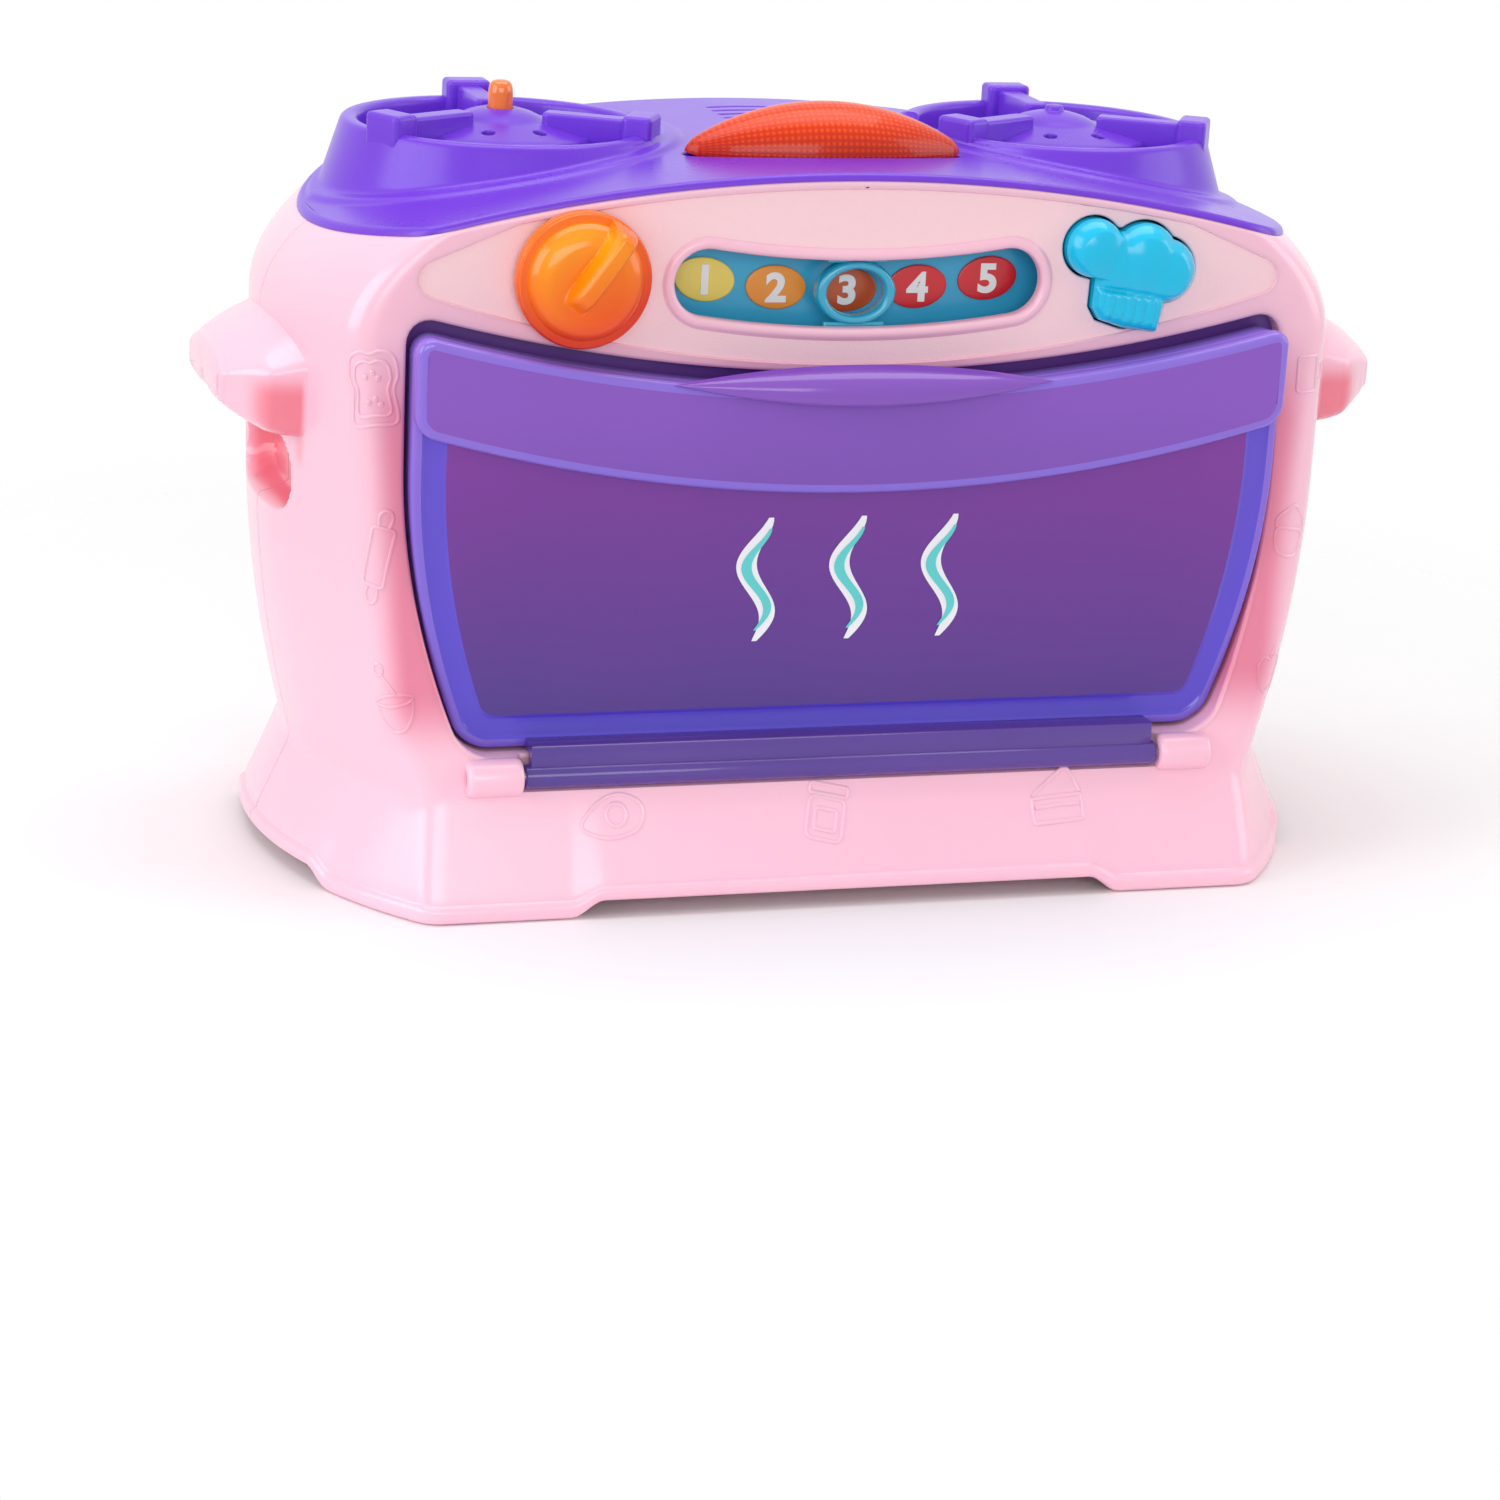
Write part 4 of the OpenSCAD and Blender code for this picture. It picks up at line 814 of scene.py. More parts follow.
def pierced(front, surface, loops):
    """One shell's wall with holes: its flat face is cut along the loops, and the new edges lie on it.

    The face is all that lies ahead of y -35 on the front shell and beyond y 58 on the rear one.
    """
    points, quads = shell_grid(front)
    flat = points[:, [0, 2]].copy()
    depth = points[quads][..., 1]
    facing = (depth < -35).all(1) if front else (depth > 58).all(1)
    kept = quads[facing]
    for loop in loops:
        kept = cut(flat, kept, loop)
    moved = (flat != points[:, [0, 2]]).any(1)
    points[:, [0, 2]] = flat
    points[moved, 1] = surface(points[moved, 0], points[moved, 2])
    return points, [kept, quads[~facing]]


def knuckle(side):
    """Rounded hinge knuckle, turned about the pin's axis, with the pin's bore in its outer end."""
    profile = [(90.3, 1.6), (90.3, 4.0), (90.6, 4.7), (91.3, 5.1), (92.2, 5.2), (103.6, 5.2), (104.6, 5.05),
               (105.2, 4.6), (105.5, 3.9), (105.5, 2.1), (105.3, 1.75), (104.8, 1.6), (97.0, 1.6)]
    form = lathe_x([(side * x, r) for x, r in profile], HINGE_Y, HINGE_Z)
    return form if side > 0 else flip(form)


OPENING_ROLL, JAMB_Y = 1.2, -44.6
opening = door_loop(0, 0, 8)
wall = pierced(True, face_y, [opening + outward(opening) * OPENING_ROLL, panel_loop(0.3)])
recess_step = strip(panel_loop(), face_y, [(0.8, 0.2), (0.3, 0.0), (0.18, 0.02), (0.07, 0.12), (0.0, 0.3),
                                           (-0.05, 0.55), (-0.2, 0.7), (-0.7, 0.85)])
front = join(wall, recess_step, rim(opening, face_y, OPENING_ROLL, JAMB_Y), knuckle(-1), knuckle(1))
put("front_body", *front, pink, "body", ("front_shell",), "pink_shell", sharp=40, solid=False)

# %% [markdown]
# The sunk panel lies 0.7 mm back. Round the window runs a raised bead, which on the real toy
# stiffens the edge that fingers press on while they push the ring along.

# %% Sunk control panel
SUNK, HAT_WALL_Y = 0.7, -46.8
x = np.linspace(-TIP, TIP, 200)[None, :]
v = np.linspace(0, 1, 44)[:, None]
z = panel_low(x) + v * (panel_high(x) - panel_low(x))
flat = np.stack([np.broadcast_to(x, z.shape).ravel(), z.ravel()], -1)
kept = cut(flat, skin(44, 200, wrap=False), panel_loop(-0.2), keep_inside=True)
window = window_loop()
hat_hole = hat_points(0.6)
for loop in (window + outward(window) * 3.4, hat_hole + outward(hat_hole) * 0.6):
    kept = cut(flat, kept, loop)


def field_y(x, z):
    """Level of the sunk panel."""
    return face_y(x, z) + SUNK


field = (np.stack([flat[:, 0], field_y(flat[:, 0], flat[:, 1]), flat[:, 1]], -1), [kept])
bead_form = [(3.9, 0.2), (3.4, 0), (3.2, -0.06), (2.95, -0.3), (2.6, -0.65), (2.1, -0.9), (1.5, -1.0),
             (0.9, -0.92), (0.4, -0.6), (0.1, -0.1), (0.0, 0.6), (0.0, 2.6)]
window_bead = strip(window, field_y, bead_form)
field = join(field, rim(hat_hole, field_y, 0.6, HAT_WALL_Y))
put("control_field", *field, pink_grain, "body", ("front_shell",), "pink_shell", sharp=40, solid=False)
put("window_bead", *window_bead, pink, "body", ("front_shell",), "pink_shell", sharp=60, solid=False)

# %% [markdown]
# Thin raised outlines of kitchen things are moulded into the front: a slice of toast, a rolling pin and
# a bowl with a spoon on the left, an egg, a jar and a piece of cake along the base, a bun, an apple and
# a mug on the right. They are this model's own drawings. A half-round line follows each one over the
# curved wall.

# %% Moulded outlines


def on_wall(u, z, lift):
    """Points on the front wall at a distance along it from the middle, at a height, raised by lift."""
    along = np.abs(u)
    foot = foot_line(along, -60.0 + 0 * u)
    row = np.where(z < WAIST_Z, (z - foot) * WAIST_Z / (WAIST_Z - foot), z)
    stretch = (BODY_H - BULGE_Z) / (arch(along) - 0.1 - BULGE_Z)
    row = np.where(z > BULGE_Z, BULGE_Z + (z - BULGE_Z) * stretch, row)
    corner = wall_points(np.ones_like(row), row, 0.0, True)[..., 0]
    past = along - corner
    beyond = 1 + np.minimum(past, 11.8) / 11.8 + np.maximum(past - 11.8, 0) / 68
    s = np.where(past < 0, along / corner, beyond)
    return wall_points(np.where(u < 0, -s, s), row, -lift, True)


def curve(points, closed=True, count=110):
    """Smooth line through points: a uniform Catmull-Rom curve."""
    p = np.asarray(points, float)
    n = len(p)
    k = np.linspace(0, n if closed else n - 1, count, endpoint=not closed)
    i = np.minimum(k.astype(int), n - 1 if closed else n - 2)
    t = (k - i)[:, None]
    a, b, c, d = (p[(i + j) % n if closed else np.clip(i + j, 0, n - 1)] for j in (-1, 0, 1, 2))
    square, cube = 2 * a - 5 * b + 4 * c - d, 3 * b - 3 * c + d - a
    return 0.5 * (2 * b + (c - a) * t + square * t ** 2 + cube * t ** 3)


def raised(line, closed, width=0.55, height=0.42):
    """Half-round line on the wall along a drawn line."""
    t = (np.roll(line, -1, 0) - np.roll(line, 1, 0)) if closed else np.gradient(line, axis=0)
    t = t / np.maximum(np.linalg.norm(t, axis=1, keepdims=True), 1e-9)
    across = np.stack([t[:, 1], -t[:, 0]], -1)
    rows = []
    for a in np.linspace(0, np.pi, 7):
        at = line + across * width * np.cos(a)
        rows.append(on_wall(at[:, 0], at[:, 1], height * np.sin(a) - 0.05))
    return np.array(rows).reshape(-1, 3), [skin(7, len(line), wrap=closed)]


def drawn(lines, u, z, scale=1.0, lean=0.0):
    """One outline: its lines scaled, leaned and set at a place on the wall."""
    c, s = np.cos(np.radians(lean)), np.sin(np.radians(lean))
    turned_by = np.array([[c, s], [-s, c]])
    return [raised(np.asarray(line) @ turned_by * scale + [u, z], closed) for line, closed in lines]


def dot(x, z):
    """A crumb of the toast."""
    return circle_loop(x, z, 0.3, 16), True


TOAST_EDGE = [(-5.5, -8), (0, -8.3), (5.5, -8), (5.2, -1), (6.3, 2.5), (5.6, 6.8), (2.6, 8.3), (0, 7.8),
              (-2.6, 8.3), (-5.6, 6.8), (-6.3, 2.5), (-5.2, -1)]
TOAST = [(curve(TOAST_EDGE), True), (curve(TOAST_EDGE) * 0.74, True), dot(-1.6, 2.6), dot(0.4, 3.6),
         dot(1.8, 2.2), dot(-1.2, -3.2), dot(0.8, -2.4), dot(2.0, -3.8)]
PIN_END = np.array([(-1.2, 6.4), (-1.5, 8.4), (-0.7, 9.8), (0.7, 9.8), (1.5, 8.4), (1.2, 6.4)])
ROLLING_PIN = [(box_loop(-2.7, 2.7, -6.2, 6.2, 0.9, 110), True), (curve(PIN_END, False, 50), False),
               (curve(PIN_END * [1, -1], False, 50), False)]
BOWL = [(curve([(-6.2, 1), (-5.3, -3), (-2.6, -6), (0, -6.6), (2.6, -6), (5.3, -3), (6.2, 1)], False),
         False),
        (circle_loop(0, 0, 6.2, 90) * [1, 0.22] + [0, 1], True),
        (curve([(1.4, 2.3), (-0.4, 5), (-2.2, 7.6)], False, 40), False),
        (circle_loop(-2.9, 8.9, 1.5, 40), True)]
EGG = [(curve([(-7.6, -1), (-3, 3.4), (2, 4.8), (6.5, 3), (8, 0), (6, -3.4), (1, -4.6), (-4, -3.8)]), True),
       (circle_loop(1.2, 0.3, 2.5, 50), True)]
JAR = [(box_loop(-4.6, 4.6, -6.4, 3.2, 1.6, 110), True), (box_loop(-5, 5, 3.9, 6.2, 0.7, 90), True),
       (box_loop(-2.8, 2.8, -4.2, 0.6, 0.7, 70), True)]
CAKE = [(box_loop(-6.6, 6.6, -5.4, 0.4, 0.5, 120), True),
        (curve([(-6.4, 1.0), (-1, 4.6), (3.4, 6.6), (6.4, 1.0)], False), False),
        (curve([(-6, -1.8), (0, -1.6), (6, -1.8)], False, 40), False)]
BUN = [(curve([(-3.2, -5.4), (3.2, -5.4), (4.4, 0.2), (0, 0.9), (-4.4, 0.2)]), True),
       (curve([(-4.8, 0.8), (-4.6, 3.2), (-2, 5.8), (0, 6.8), (2, 5.8), (4.6, 3.2), (4.8, 0.8)], False),
        False)]
APPLE = [(curve([(0, 3.4), (2.6, 4.4), (5, 2.6), (4.8, -1.6), (2.4, -5), (0, -4.4), (-2.4, -5),
                 (-4.8, -1.6), (-5, 2.6), (-2.6, 4.4)]), True),
         (curve([(0, 3.4), (0.4, 5), (1.6, 6.6)], False, 40), False)]
MUG = [(box_loop(-4, 2.6, -4.6, 4.4, 1.0, 100), True),
       (curve([(2.8, 2.4), (5.2, 2.2), (5.4, -1.6), (2.8, -2.4)], False, 50), False)]
OUTLINES = [(TOAST, -131.2, 139, 1.15, 6), (ROLLING_PIN, -129.2, 95, 1.25, -14),
            (BOWL, -126.0, 56, 1.1, 10), (EGG, -66, 25.5, 1.12, 6), (JAR, -6, 24.5, 1.1, -12),
            (CAKE, 60.5, 25.5, 1.1, 4), (MUG, 132.5, 140, 1.1, 0), (BUN, 129.5, 96, 1.1, -8),
            (APPLE, 126.5, 57, 1.05, 6)]
lines = [line for outline in OUTLINES for line in drawn(*outline)]
put("moulded_outlines", *join(*lines), pink, "body", ("front_shell",), "pink_shell", sharp=70, solid=False)

# %% [markdown]
# ## Rear shell and grips
# The rear moulding carries the battery bay, the slot for the power slider and four deep screw wells.
# A grip stands out on each side, split by the same seam; a rounded recess under it takes the fingertips.

# %% Rear shell
BAY = (-30, 30, 56, 112.2)
WELLS = [(s * x, z) for s in (-1, 1) for x, z in ((88, 20), (118, 163))]
bay = box_loop(*BAY, 3.0)
slot_loop = box_loop(-6, 6, 125.2, 131.2, 1.0)
wells = [circle_loop(x, z, 3.1) for x, z in WELLS]
wall = pierced(False, rear_y, [loop + outward(loop) * 0.8 for loop in (bay, slot_loop, *wells)])
rims = [rim(bay, rear_y, 0.8, 71.0, -1.0), rim(slot_loop, rear_y, 0.8, 72.0, -1.0)]
rims += [rim(w, rear_y, 0.8, 16.0, -1.0) for w in wells]
back = flip(join(wall, *rims))
put("rear_body", *back, pink, "body", ("rear_shell",), "pink_shell", sharp=40, solid=False)


def flow(controls, count):
    """Smooth curve through rows of controls: cubic pieces whose slopes come from the neighbouring rows.

    The first column is the place along the curve.
    """
    c = np.asarray(controls, float)
    s = np.linspace(c[0, 0], c[-1, 0], count)
    k = np.clip(np.searchsorted(c[:, 0], s, side="right") - 1, 0, len(c) - 2)
    h = (c[k + 1, 0] - c[k, 0])[:, None]
    t = ((s - c[k, 0]) / h[:, 0])[:, None]
    slope = np.gradient(c[:, 1:], c[:, 0], axis=0)
    p, q, a, b = c[k, 1:], c[k + 1, 1:], slope[k] * h, slope[k + 1] * h
    start, leave = 2 * t ** 3 - 3 * t ** 2 + 1, t ** 3 - 2 * t ** 2 + t
    end, arrive = 3 * t ** 2 - 2 * t ** 3, t ** 3 - t ** 2
    return np.column_stack([s, start * p + leave * a + end * q + arrive * b])


# Distance from the middle, half width along Y, height of the top and height of the underside.
GRIP = [(138, 34.8, 153.5, 118.6), (146, 34.2, 151.8, 119.4), (151, 33.6, 149.6, 120.4),
        (153.4, 33.0, 148.4, 121.2), (155, 31.8, 147.6, 122), (156.6, 30.2, 146.8, 122.8),
        (160, 26.8, 144.6, 124.8), (163, 23.6, 142, 127), (164.7, 20.4, 139.8, 129),
        (165.15, 17, 138, 130.4), (165.3, 9, 135.6, 132.2)]


def grip(side):
    """Side grip: rounded-rectangle sections along X whose width, top and underside follow the table."""
    table = flow(GRIP, 90)
    a = np.linspace(0, 2 * np.pi, 160, endpoint=False)
    c, s = np.cos(a), np.sin(a)
    square = 0.26
    round_y = np.sign(c) * np.abs(c) ** square
    round_z = np.sign(s) * np.abs(s) ** square
    x, half_y, top, low = (table[:, k, None] for k in range(4))
    py = SEAM_Y + half_y * round_y
    groove = 0.35 * np.exp(-((py - SEAM_Y) / 0.45) ** 2)
    crown = np.where(s > 0, 13.5, -1.0) * round_y ** 2 * np.abs(round_z)
    pz = (top + low) / 2 + ((top - low) / 2 - groove) * round_z - crown * (top - low) / 43
    return stack(np.stack([side * (x - groove + 0 * py), py, pz], -1))


put("grips", *join(grip(-1), grip(1)), pink, "body", ("front_shell", "rear_shell"), "pink_shell", sharp=50)

# %% [markdown]
# ## Hob
# The purple top is one moulding: a crowned deck, two cone-walled bowls that stand on soft terraces,
# a two-step dome in each and three rests. The left burner has the press pin in its middle and the
# right one a nub. On the real toy a weight on the rests presses the pin.

# %% Hob outline
BURNER_X, BURNER_Y, BURNER_R, RIM_Z = 80.7, 25.6, 43.1, 195.8
LENS_Y, LENS_HALF, LENS_H = -12.0, 39.0, 13.5


def deck_z(x, y=0):
    """Height of the crowned deck, 1.8 mm above the pink top edge."""
    return BODY_H + 1.8 - ARCH * x * x


def plan_strip(loop, surface, profile):
    """A strip round a loop in plan; the profile lists how far out of it and how far above a surface."""
    points, faces = strip(loop, surface, profile)
    return points[:, [0, 2, 1]], faces


s_front, _ = columns(2.5)
ahead = wall_points(s_front, np.full_like(s_front, BODY_H), 0.15, True)
astern = wall_points(s_front[::-1], np.full_like(s_front, BODY_H), 0.15, False)
top_loop = resample(np.vstack([ahead, astern])[:, :2], 520)
print("hob outline:", len(top_loop), "points")

# %% [markdown]
# Each burner is a stack of rings with the same count all the way from the deck to its middle. The rings
# on the deck keep inside the hob's outline, where the cone comes close to the edge.

# %% Burner bowls
TURNS = 216
HOLES_R, HOLE_R = 18.6, 1.85
HOLE_EDGE = [(0.3, 0.0), (0.15, -0.05), (0.04, -0.2), (0.0, -0.45), (0.0, -3.0)]
NOTCH_AT, NOTCH_R = np.radians(162), 7.0
around = np.linspace(0, 2 * np.pi, TURNS, endpoint=False)
COS, SIN = np.cos(around), np.sin(around)
TERRACE = [(8.0, -0.3), (7.4, 0), (7.0, 0.02), (6.4, 0.16), (5.8, 0.55), (5.2, 0.95), (4.6, 1.12),
           (3.6, 1.2), (2.2, 1.22), (1.3, 1.35), (0.7, 1.7), (0.3, 2.3)]
BOWL_FORM = [(43.05, 195.2), (42.6, 195.6), (41.9, 195.8), (40.6, 195.8), (39.6, 195.62), (38.95, 195.2),
             (38.6, 194.4), (38.4, 193.6), (37.7, 190.2), (37.1, 187.0), (36.8, 185.9), (36.2, 185.25),
             (35.4, 185.0), (32.0, 185.0), (28.6, 185.0), (27.7, 185.25), (27.15, 185.9), (27.0, 187.0),
             (27.0, 191.9), (26.85, 192.7), (26.4, 193.3), (25.7, 193.65)]
DOME = [(12.9, 196.45), (11.9, 196.75), (11.2, 197.1), (10.4, 197.5), (9.0, 198.15), (7.2, 198.7),
        (5.4, 199.15)]
PIN_HOLE = [(4.2, 199.35), (3.7, 199.2), (3.5, 198.8), (3.5, 194.0)]
NUB = [(3.4, 199.45), (2.9, 199.6), (2.65, 199.9), (2.55, 200.6), (2.3, 201.0), (1.6, 201.25), (0.7, 201.3)]


def dome_top(r):
    """Height of the dome's sloping ring, which carries eight holes."""
    return np.interp(r, [12.9, 24.0], [196.45, 194.05])


def circles(x0, profile):
    """Level rings about a burner's middle from (radius, height) pairs."""
    return [np.stack([x0 + r * COS, BURNER_Y + r * SIN, np.full(TURNS, z)], -1) for r, z in profile]


def bowl_rings(x0, middle):
    """Rings from the deck up over a terrace and the cone, over the rim and in to the dome's middle."""
    base = np.full(TURNS, 45.0)
    for _ in range(12):
        base = BURNER_R + 0.29 * (RIM_Z - deck_z(x0 + base * COS) - 1.3)
    limit = ray_reach(x0, BURNER_Y, around, top_loop) - 1.95
    room = np.maximum(limit - base, 0.3)
    rings = []
    for grow, up in TERRACE:
        r = np.minimum(base + np.minimum(grow, grow / 7.4 * room), limit)
        rings.append(np.stack([x0 + r * COS, BURNER_Y + r * SIN, deck_z(x0 + r * COS) + up], -1))
    foot = rings[-1]
    crown = circles(x0, [(BURNER_R + 0.35, RIM_Z - 1.2)])[0]
    rings += [foot + (crown - foot) * f for f in np.linspace(0.12, 1, 9)]
    slope = [(r, dome_top(r)) for r in np.arange(24.0, 13.3, -0.8)]
    return np.array(rings + circles(x0, BOWL_FORM + slope + DOME + middle))


def notched(rings, x0):
    """Sinks a round notch into the rim, no deeper than the deck."""
    r = np.hypot(rings[..., 0] - x0, rings[..., 1] - BURNER_Y)
    off = np.abs(r * np.sin(around - NOTCH_AT))
    facing = np.cos(around - NOTCH_AT) > 0
    low = RIM_Z + 1 - np.sqrt(np.maximum(NOTCH_R ** 2 - off ** 2, 0)) * ease((7.6 - off) / 1.5)
    sunk = np.minimum(rings[..., 2], np.maximum(low, deck_z(rings[..., 0])))
    rings[..., 2] = np.where(facing & (r > 34) & (off < 7.6) & (rings[..., 2] > 189), sunk, rings[..., 2])
    return rings


def with_holes(points, quads, x0):
    """Cuts eight holes through the dome's sloping ring; each gets a rolled edge and a 3 mm wall."""

    def slope(x, y):
        """The sloping ring's height at a place in plan."""
        return dome_top(np.hypot(x - x0, y - BURNER_Y))

    middle = points[quads].mean(1)
    out = np.hypot(middle[:, 0] - x0, middle[:, 1] - BURNER_Y)
    on_dome = (out > 14) & (out < 24) & (middle[:, 2] > 192)
    flat, kept, walls = points[:, :2].copy(), quads[on_dome], []
    for at in np.radians(22 + 45 * np.arange(8)):
        hole = circle_loop(x0 + HOLES_R * np.cos(at), BURNER_Y + HOLES_R * np.sin(at), HOLE_R, 40)
        kept = cut(flat, kept, hole + outward(hole) * 0.3)
        walls.append(plan_strip(hole, slope, HOLE_EDGE))
    moved = (flat != points[:, :2]).any(1)
    points[moved, 2] = slope(flat[moved, 0], flat[moved, 1])
    points[:, :2] = flat
    return join((points, [kept, quads[~on_dome]]), *walls)


def bowl(side):
    """One burner, its outline on the deck and its innermost ring."""
    x0 = side * BURNER_X
    rings = bowl_rings(x0, PIN_HOLE if side < 0 else NUB)
    if side > 0:
        rings = notched(rings, x0)
    points, faces = stack(rings, closed=False)
    return with_holes(points, faces[0], x0), rings[1][:, :2], rings[-1]


left_bowl, left_foot, _ = bowl(-1)
right_bowl, right_foot, nub_edge = bowl(1)
print("two burner bowls")

# %% [markdown]
# Three rests stand across each bowl's rim. The light lens lies in a seat in the deck between the bowls:
# a spindle whose radius follows a long arc, so its plan outline is the same arc on either side.

# %% Rests and lens outline


def brick(x0, x1, y0, y1, z0, z1, roll):
    """Upright block with rounded corners and a rounded top edge."""
    loop = box_loop(x0, x1, y0, y1, roll * 1.2, 64)
    away = outward(loop)
    rings = [np.column_stack([loop, np.full(64, z0)]), np.column_stack([loop, np.full(64, z1 - roll)])]
    for a in np.radians(np.linspace(15, 90, 6)):
        drawn_in = loop - away * roll * (1 - np.cos(a))
        rings.append(np.column_stack([drawn_in, np.full(64, z1 - roll + roll * np.sin(a))]))
    middle = rings[-1].mean(0)
    rings.append(middle + (rings[-1] - middle) * [0.6, 0.6, 1])
    return stack(rings)


def rest_arm(side, degrees):
    """One rest: an arm over the bowl and a taller block across the rim."""
    arm = brick(12.5, 40, -3.4, 3.4, 190, 199.4, 1.0)
    points, faces = join(arm, brick(35.6, 43.9, -6.3, 6.3, 190, 200.8, 1.3))
    c, s = np.cos(np.radians(degrees)), np.sin(np.radians(degrees))
    turned = points @ np.array([[c, s, 0], [-s, c, 0], [0, 0, 1]])
    return turned + [side * BURNER_X, BURNER_Y, 0], faces


def lens_radius(u):
    """Radius of the lens at u, from -1 to 1 along it: a long arc that ends in a quarter oval 3 mm long."""
    x = LENS_HALF * np.abs(u)
    bulge = ((LENS_HALF + 3.0) ** 2 + LENS_H ** 2) / (2 * LENS_H)
    blunt = np.sqrt(1 - ramp((x - LENS_HALF + 3.0) / 3.0) ** 2)
    return (np.sqrt(bulge ** 2 - x ** 2) - (bulge - LENS_H)) * blunt


def lens_loop(grow):
    """Plan outline of the lens where it meets the deck."""
    u = np.sin(np.linspace(-np.pi / 2, np.pi / 2, 90))
    x = (LENS_HALF + grow) * u
    y = lens_radius(u) + grow * np.sqrt(1 - u ** 2) ** 0.5
    front, back = np.stack([x, LENS_Y - y], -1), np.stack([x, LENS_Y + y], -1)
    return resample(np.vstack([front, back[::-1]]), 300)


def vent_slot(back):
    """Curved slot over the speaker, 1.6 mm wide, on a 60 mm arc."""
    a = np.linspace(-13 / 60, 13 / 60, 40)
    inner, outer = (np.stack([r * np.sin(a), back - 60 + r * np.cos(a)], -1) for r in (59.2, 60.8))
    return soften([outer[::-1], inner], 0.7, 160)


print("rests and lens outlined")

# %% [markdown]
# The deck is a grid that is cut to the hob's outline and round the bowls, the lens seat and the four
# slots over the speaker. Every cut edge is rolled over.

# %% Hob top
across = np.concatenate([np.arange(-136, -118, 0.5), np.arange(-118, 118, 1.35),
                         np.arange(118, 136.1, 0.5)])
gx, gy = np.meshgrid(across, np.arange(-50.5, 76, 0.9))
flat = np.stack([gx.ravel(), gy.ravel()], -1)
quads = skin(*gx.shape, wrap=False)
middle = flat[quads].mean(1)
kept = quads[inside(middle[:, 0], middle[:, 1], top_loop)]
kept = cut(flat, kept, top_loop - outward(top_loop) * 1.8, keep_inside=True)
slots = [vent_slot(back) for back in (40, 46, 52, 58)]
seat = lens_loop(0.4)
for loop in [left_foot, right_foot, seat + outward(seat) * 0.7] + [s + outward(s) * 0.5 for s in slots]:
    kept = cut(flat, kept, loop)
deck = (np.column_stack([flat, deck_z(flat[:, 0])]), [kept])
EDGE = [(-2.5, -0.25), (-1.8, 0), (-1.3, -0.08), (-0.8, -0.32), (-0.45, -0.7), (-0.2, -1.2), (-0.1, -1.9),
        (-1.2, -2.2)]
SEAT = [(1.2, -0.25), (0.7, 0), (0.45, -0.1), (0.15, -0.35), (0, -0.8), (0, -4)]
SLOT = [(0.9, -0.25), (0.5, 0), (0.3, -0.06), (0.1, -0.25), (0, -0.6), (0, -2.6)]
edges = [flip(plan_strip(top_loop, deck_z, EDGE)), plan_strip(seat, deck_z, SEAT)]
edges += [plan_strip(s, deck_z, SLOT) for s in slots]
arms = [rest_arm(side, a) for side in (-1, 1) for a in (90, 210, 330)]
nub_cap = (nub_edge, [np.arange(TURNS)[None]])
hob = join(deck, left_bowl, right_bowl, nub_cap, *edges)
put("hob_deck", *hob, purple, "body", ("hob_top",), "purple_hob", sharp=40, solid=False)
put("pan_rests", *join(*arms), purple, "body", ("hob_top",), "purple_hob", sharp=42)


def turned(profile, x0, y0, count=72):
    """Closed piece of revolution about an upright axis from (radius, height) pairs."""
    a = np.linspace(0, 2 * np.pi, count, endpoint=False)
    return stack([np.stack([x0 + r * np.cos(a), y0 + r * np.sin(a), np.full(count, z)], -1)
                  for r, z in profile])


PIN_FORM = [(3.4, 184.0), (3.4, 203.3), (3.3, 204.6), (2.95, 205.7), (2.3, 206.4), (1.4, 206.75),
            (0.5, 206.8)]
put("pin_tip", *turned(PIN_FORM, -BURNER_X, BURNER_Y), orange, "pin", ("press_pin",), "orange_pin", sharp=50)


def lens_form():
    """Spindle on the deck: circles about a level axis whose radius follows a long arc."""
    u = np.sin(np.linspace(-np.pi / 2, np.pi / 2, 121))
    x = LENS_HALF * u * 0.9995
    r = np.maximum(lens_radius(u) - 0.02, 0.01)
    a = np.radians(np.linspace(-16, 196, 97))
    y, z = LENS_Y + r[:, None] * np.cos(a), BODY_H + 1.2 + r[:, None] * np.sin(a)
    return np.stack([x[:, None] + 0 * a, y, z], -1).reshape(-1, 3), [skin(121, 97, wrap=False)]


put("lens_cap", *lens_form(), lens_red, "body", ("light_lens",), "clear_red", sharp=60, solid=False)

# %% [markdown]
# ## Door
# The door is one clear violet moulding that drops open on a steel pin. Its pane is thin, its border is
# a deeper wall, so the border is painted bluer and darker, and its outer rolled edge gets a brighter painted
# highlight. A raised band crosses the top and carries a crescent lip for the fingers. Along the bottom run a
# ledge and the hinge barrel.

# %% Door leaf
PANE_Y, BAND_Y, DOOR_BACK = -56.0, -59.6, -48.0
leaf = door_loop(1.0, 2.2, 7.0, 520)


def flat_rings(loop, profile):
    """Rings of a front-view outline; the profile lists how far each is drawn in and its y."""
    away = outward(loop)
    drawn_in = [(loop - away * g, y) for g, y in profile]
    return np.array([np.column_stack([at[:, 0], np.full(len(loop), y), at[:, 1]]) for at, y in drawn_in])


def put_door(name, part, finish, sharp=50, solid=False):
    """One piece of the door's moulding."""
    put(name, *part, finish, "door", ("door_panel",), "clear_purple", sharp=sharp, solid=solid)


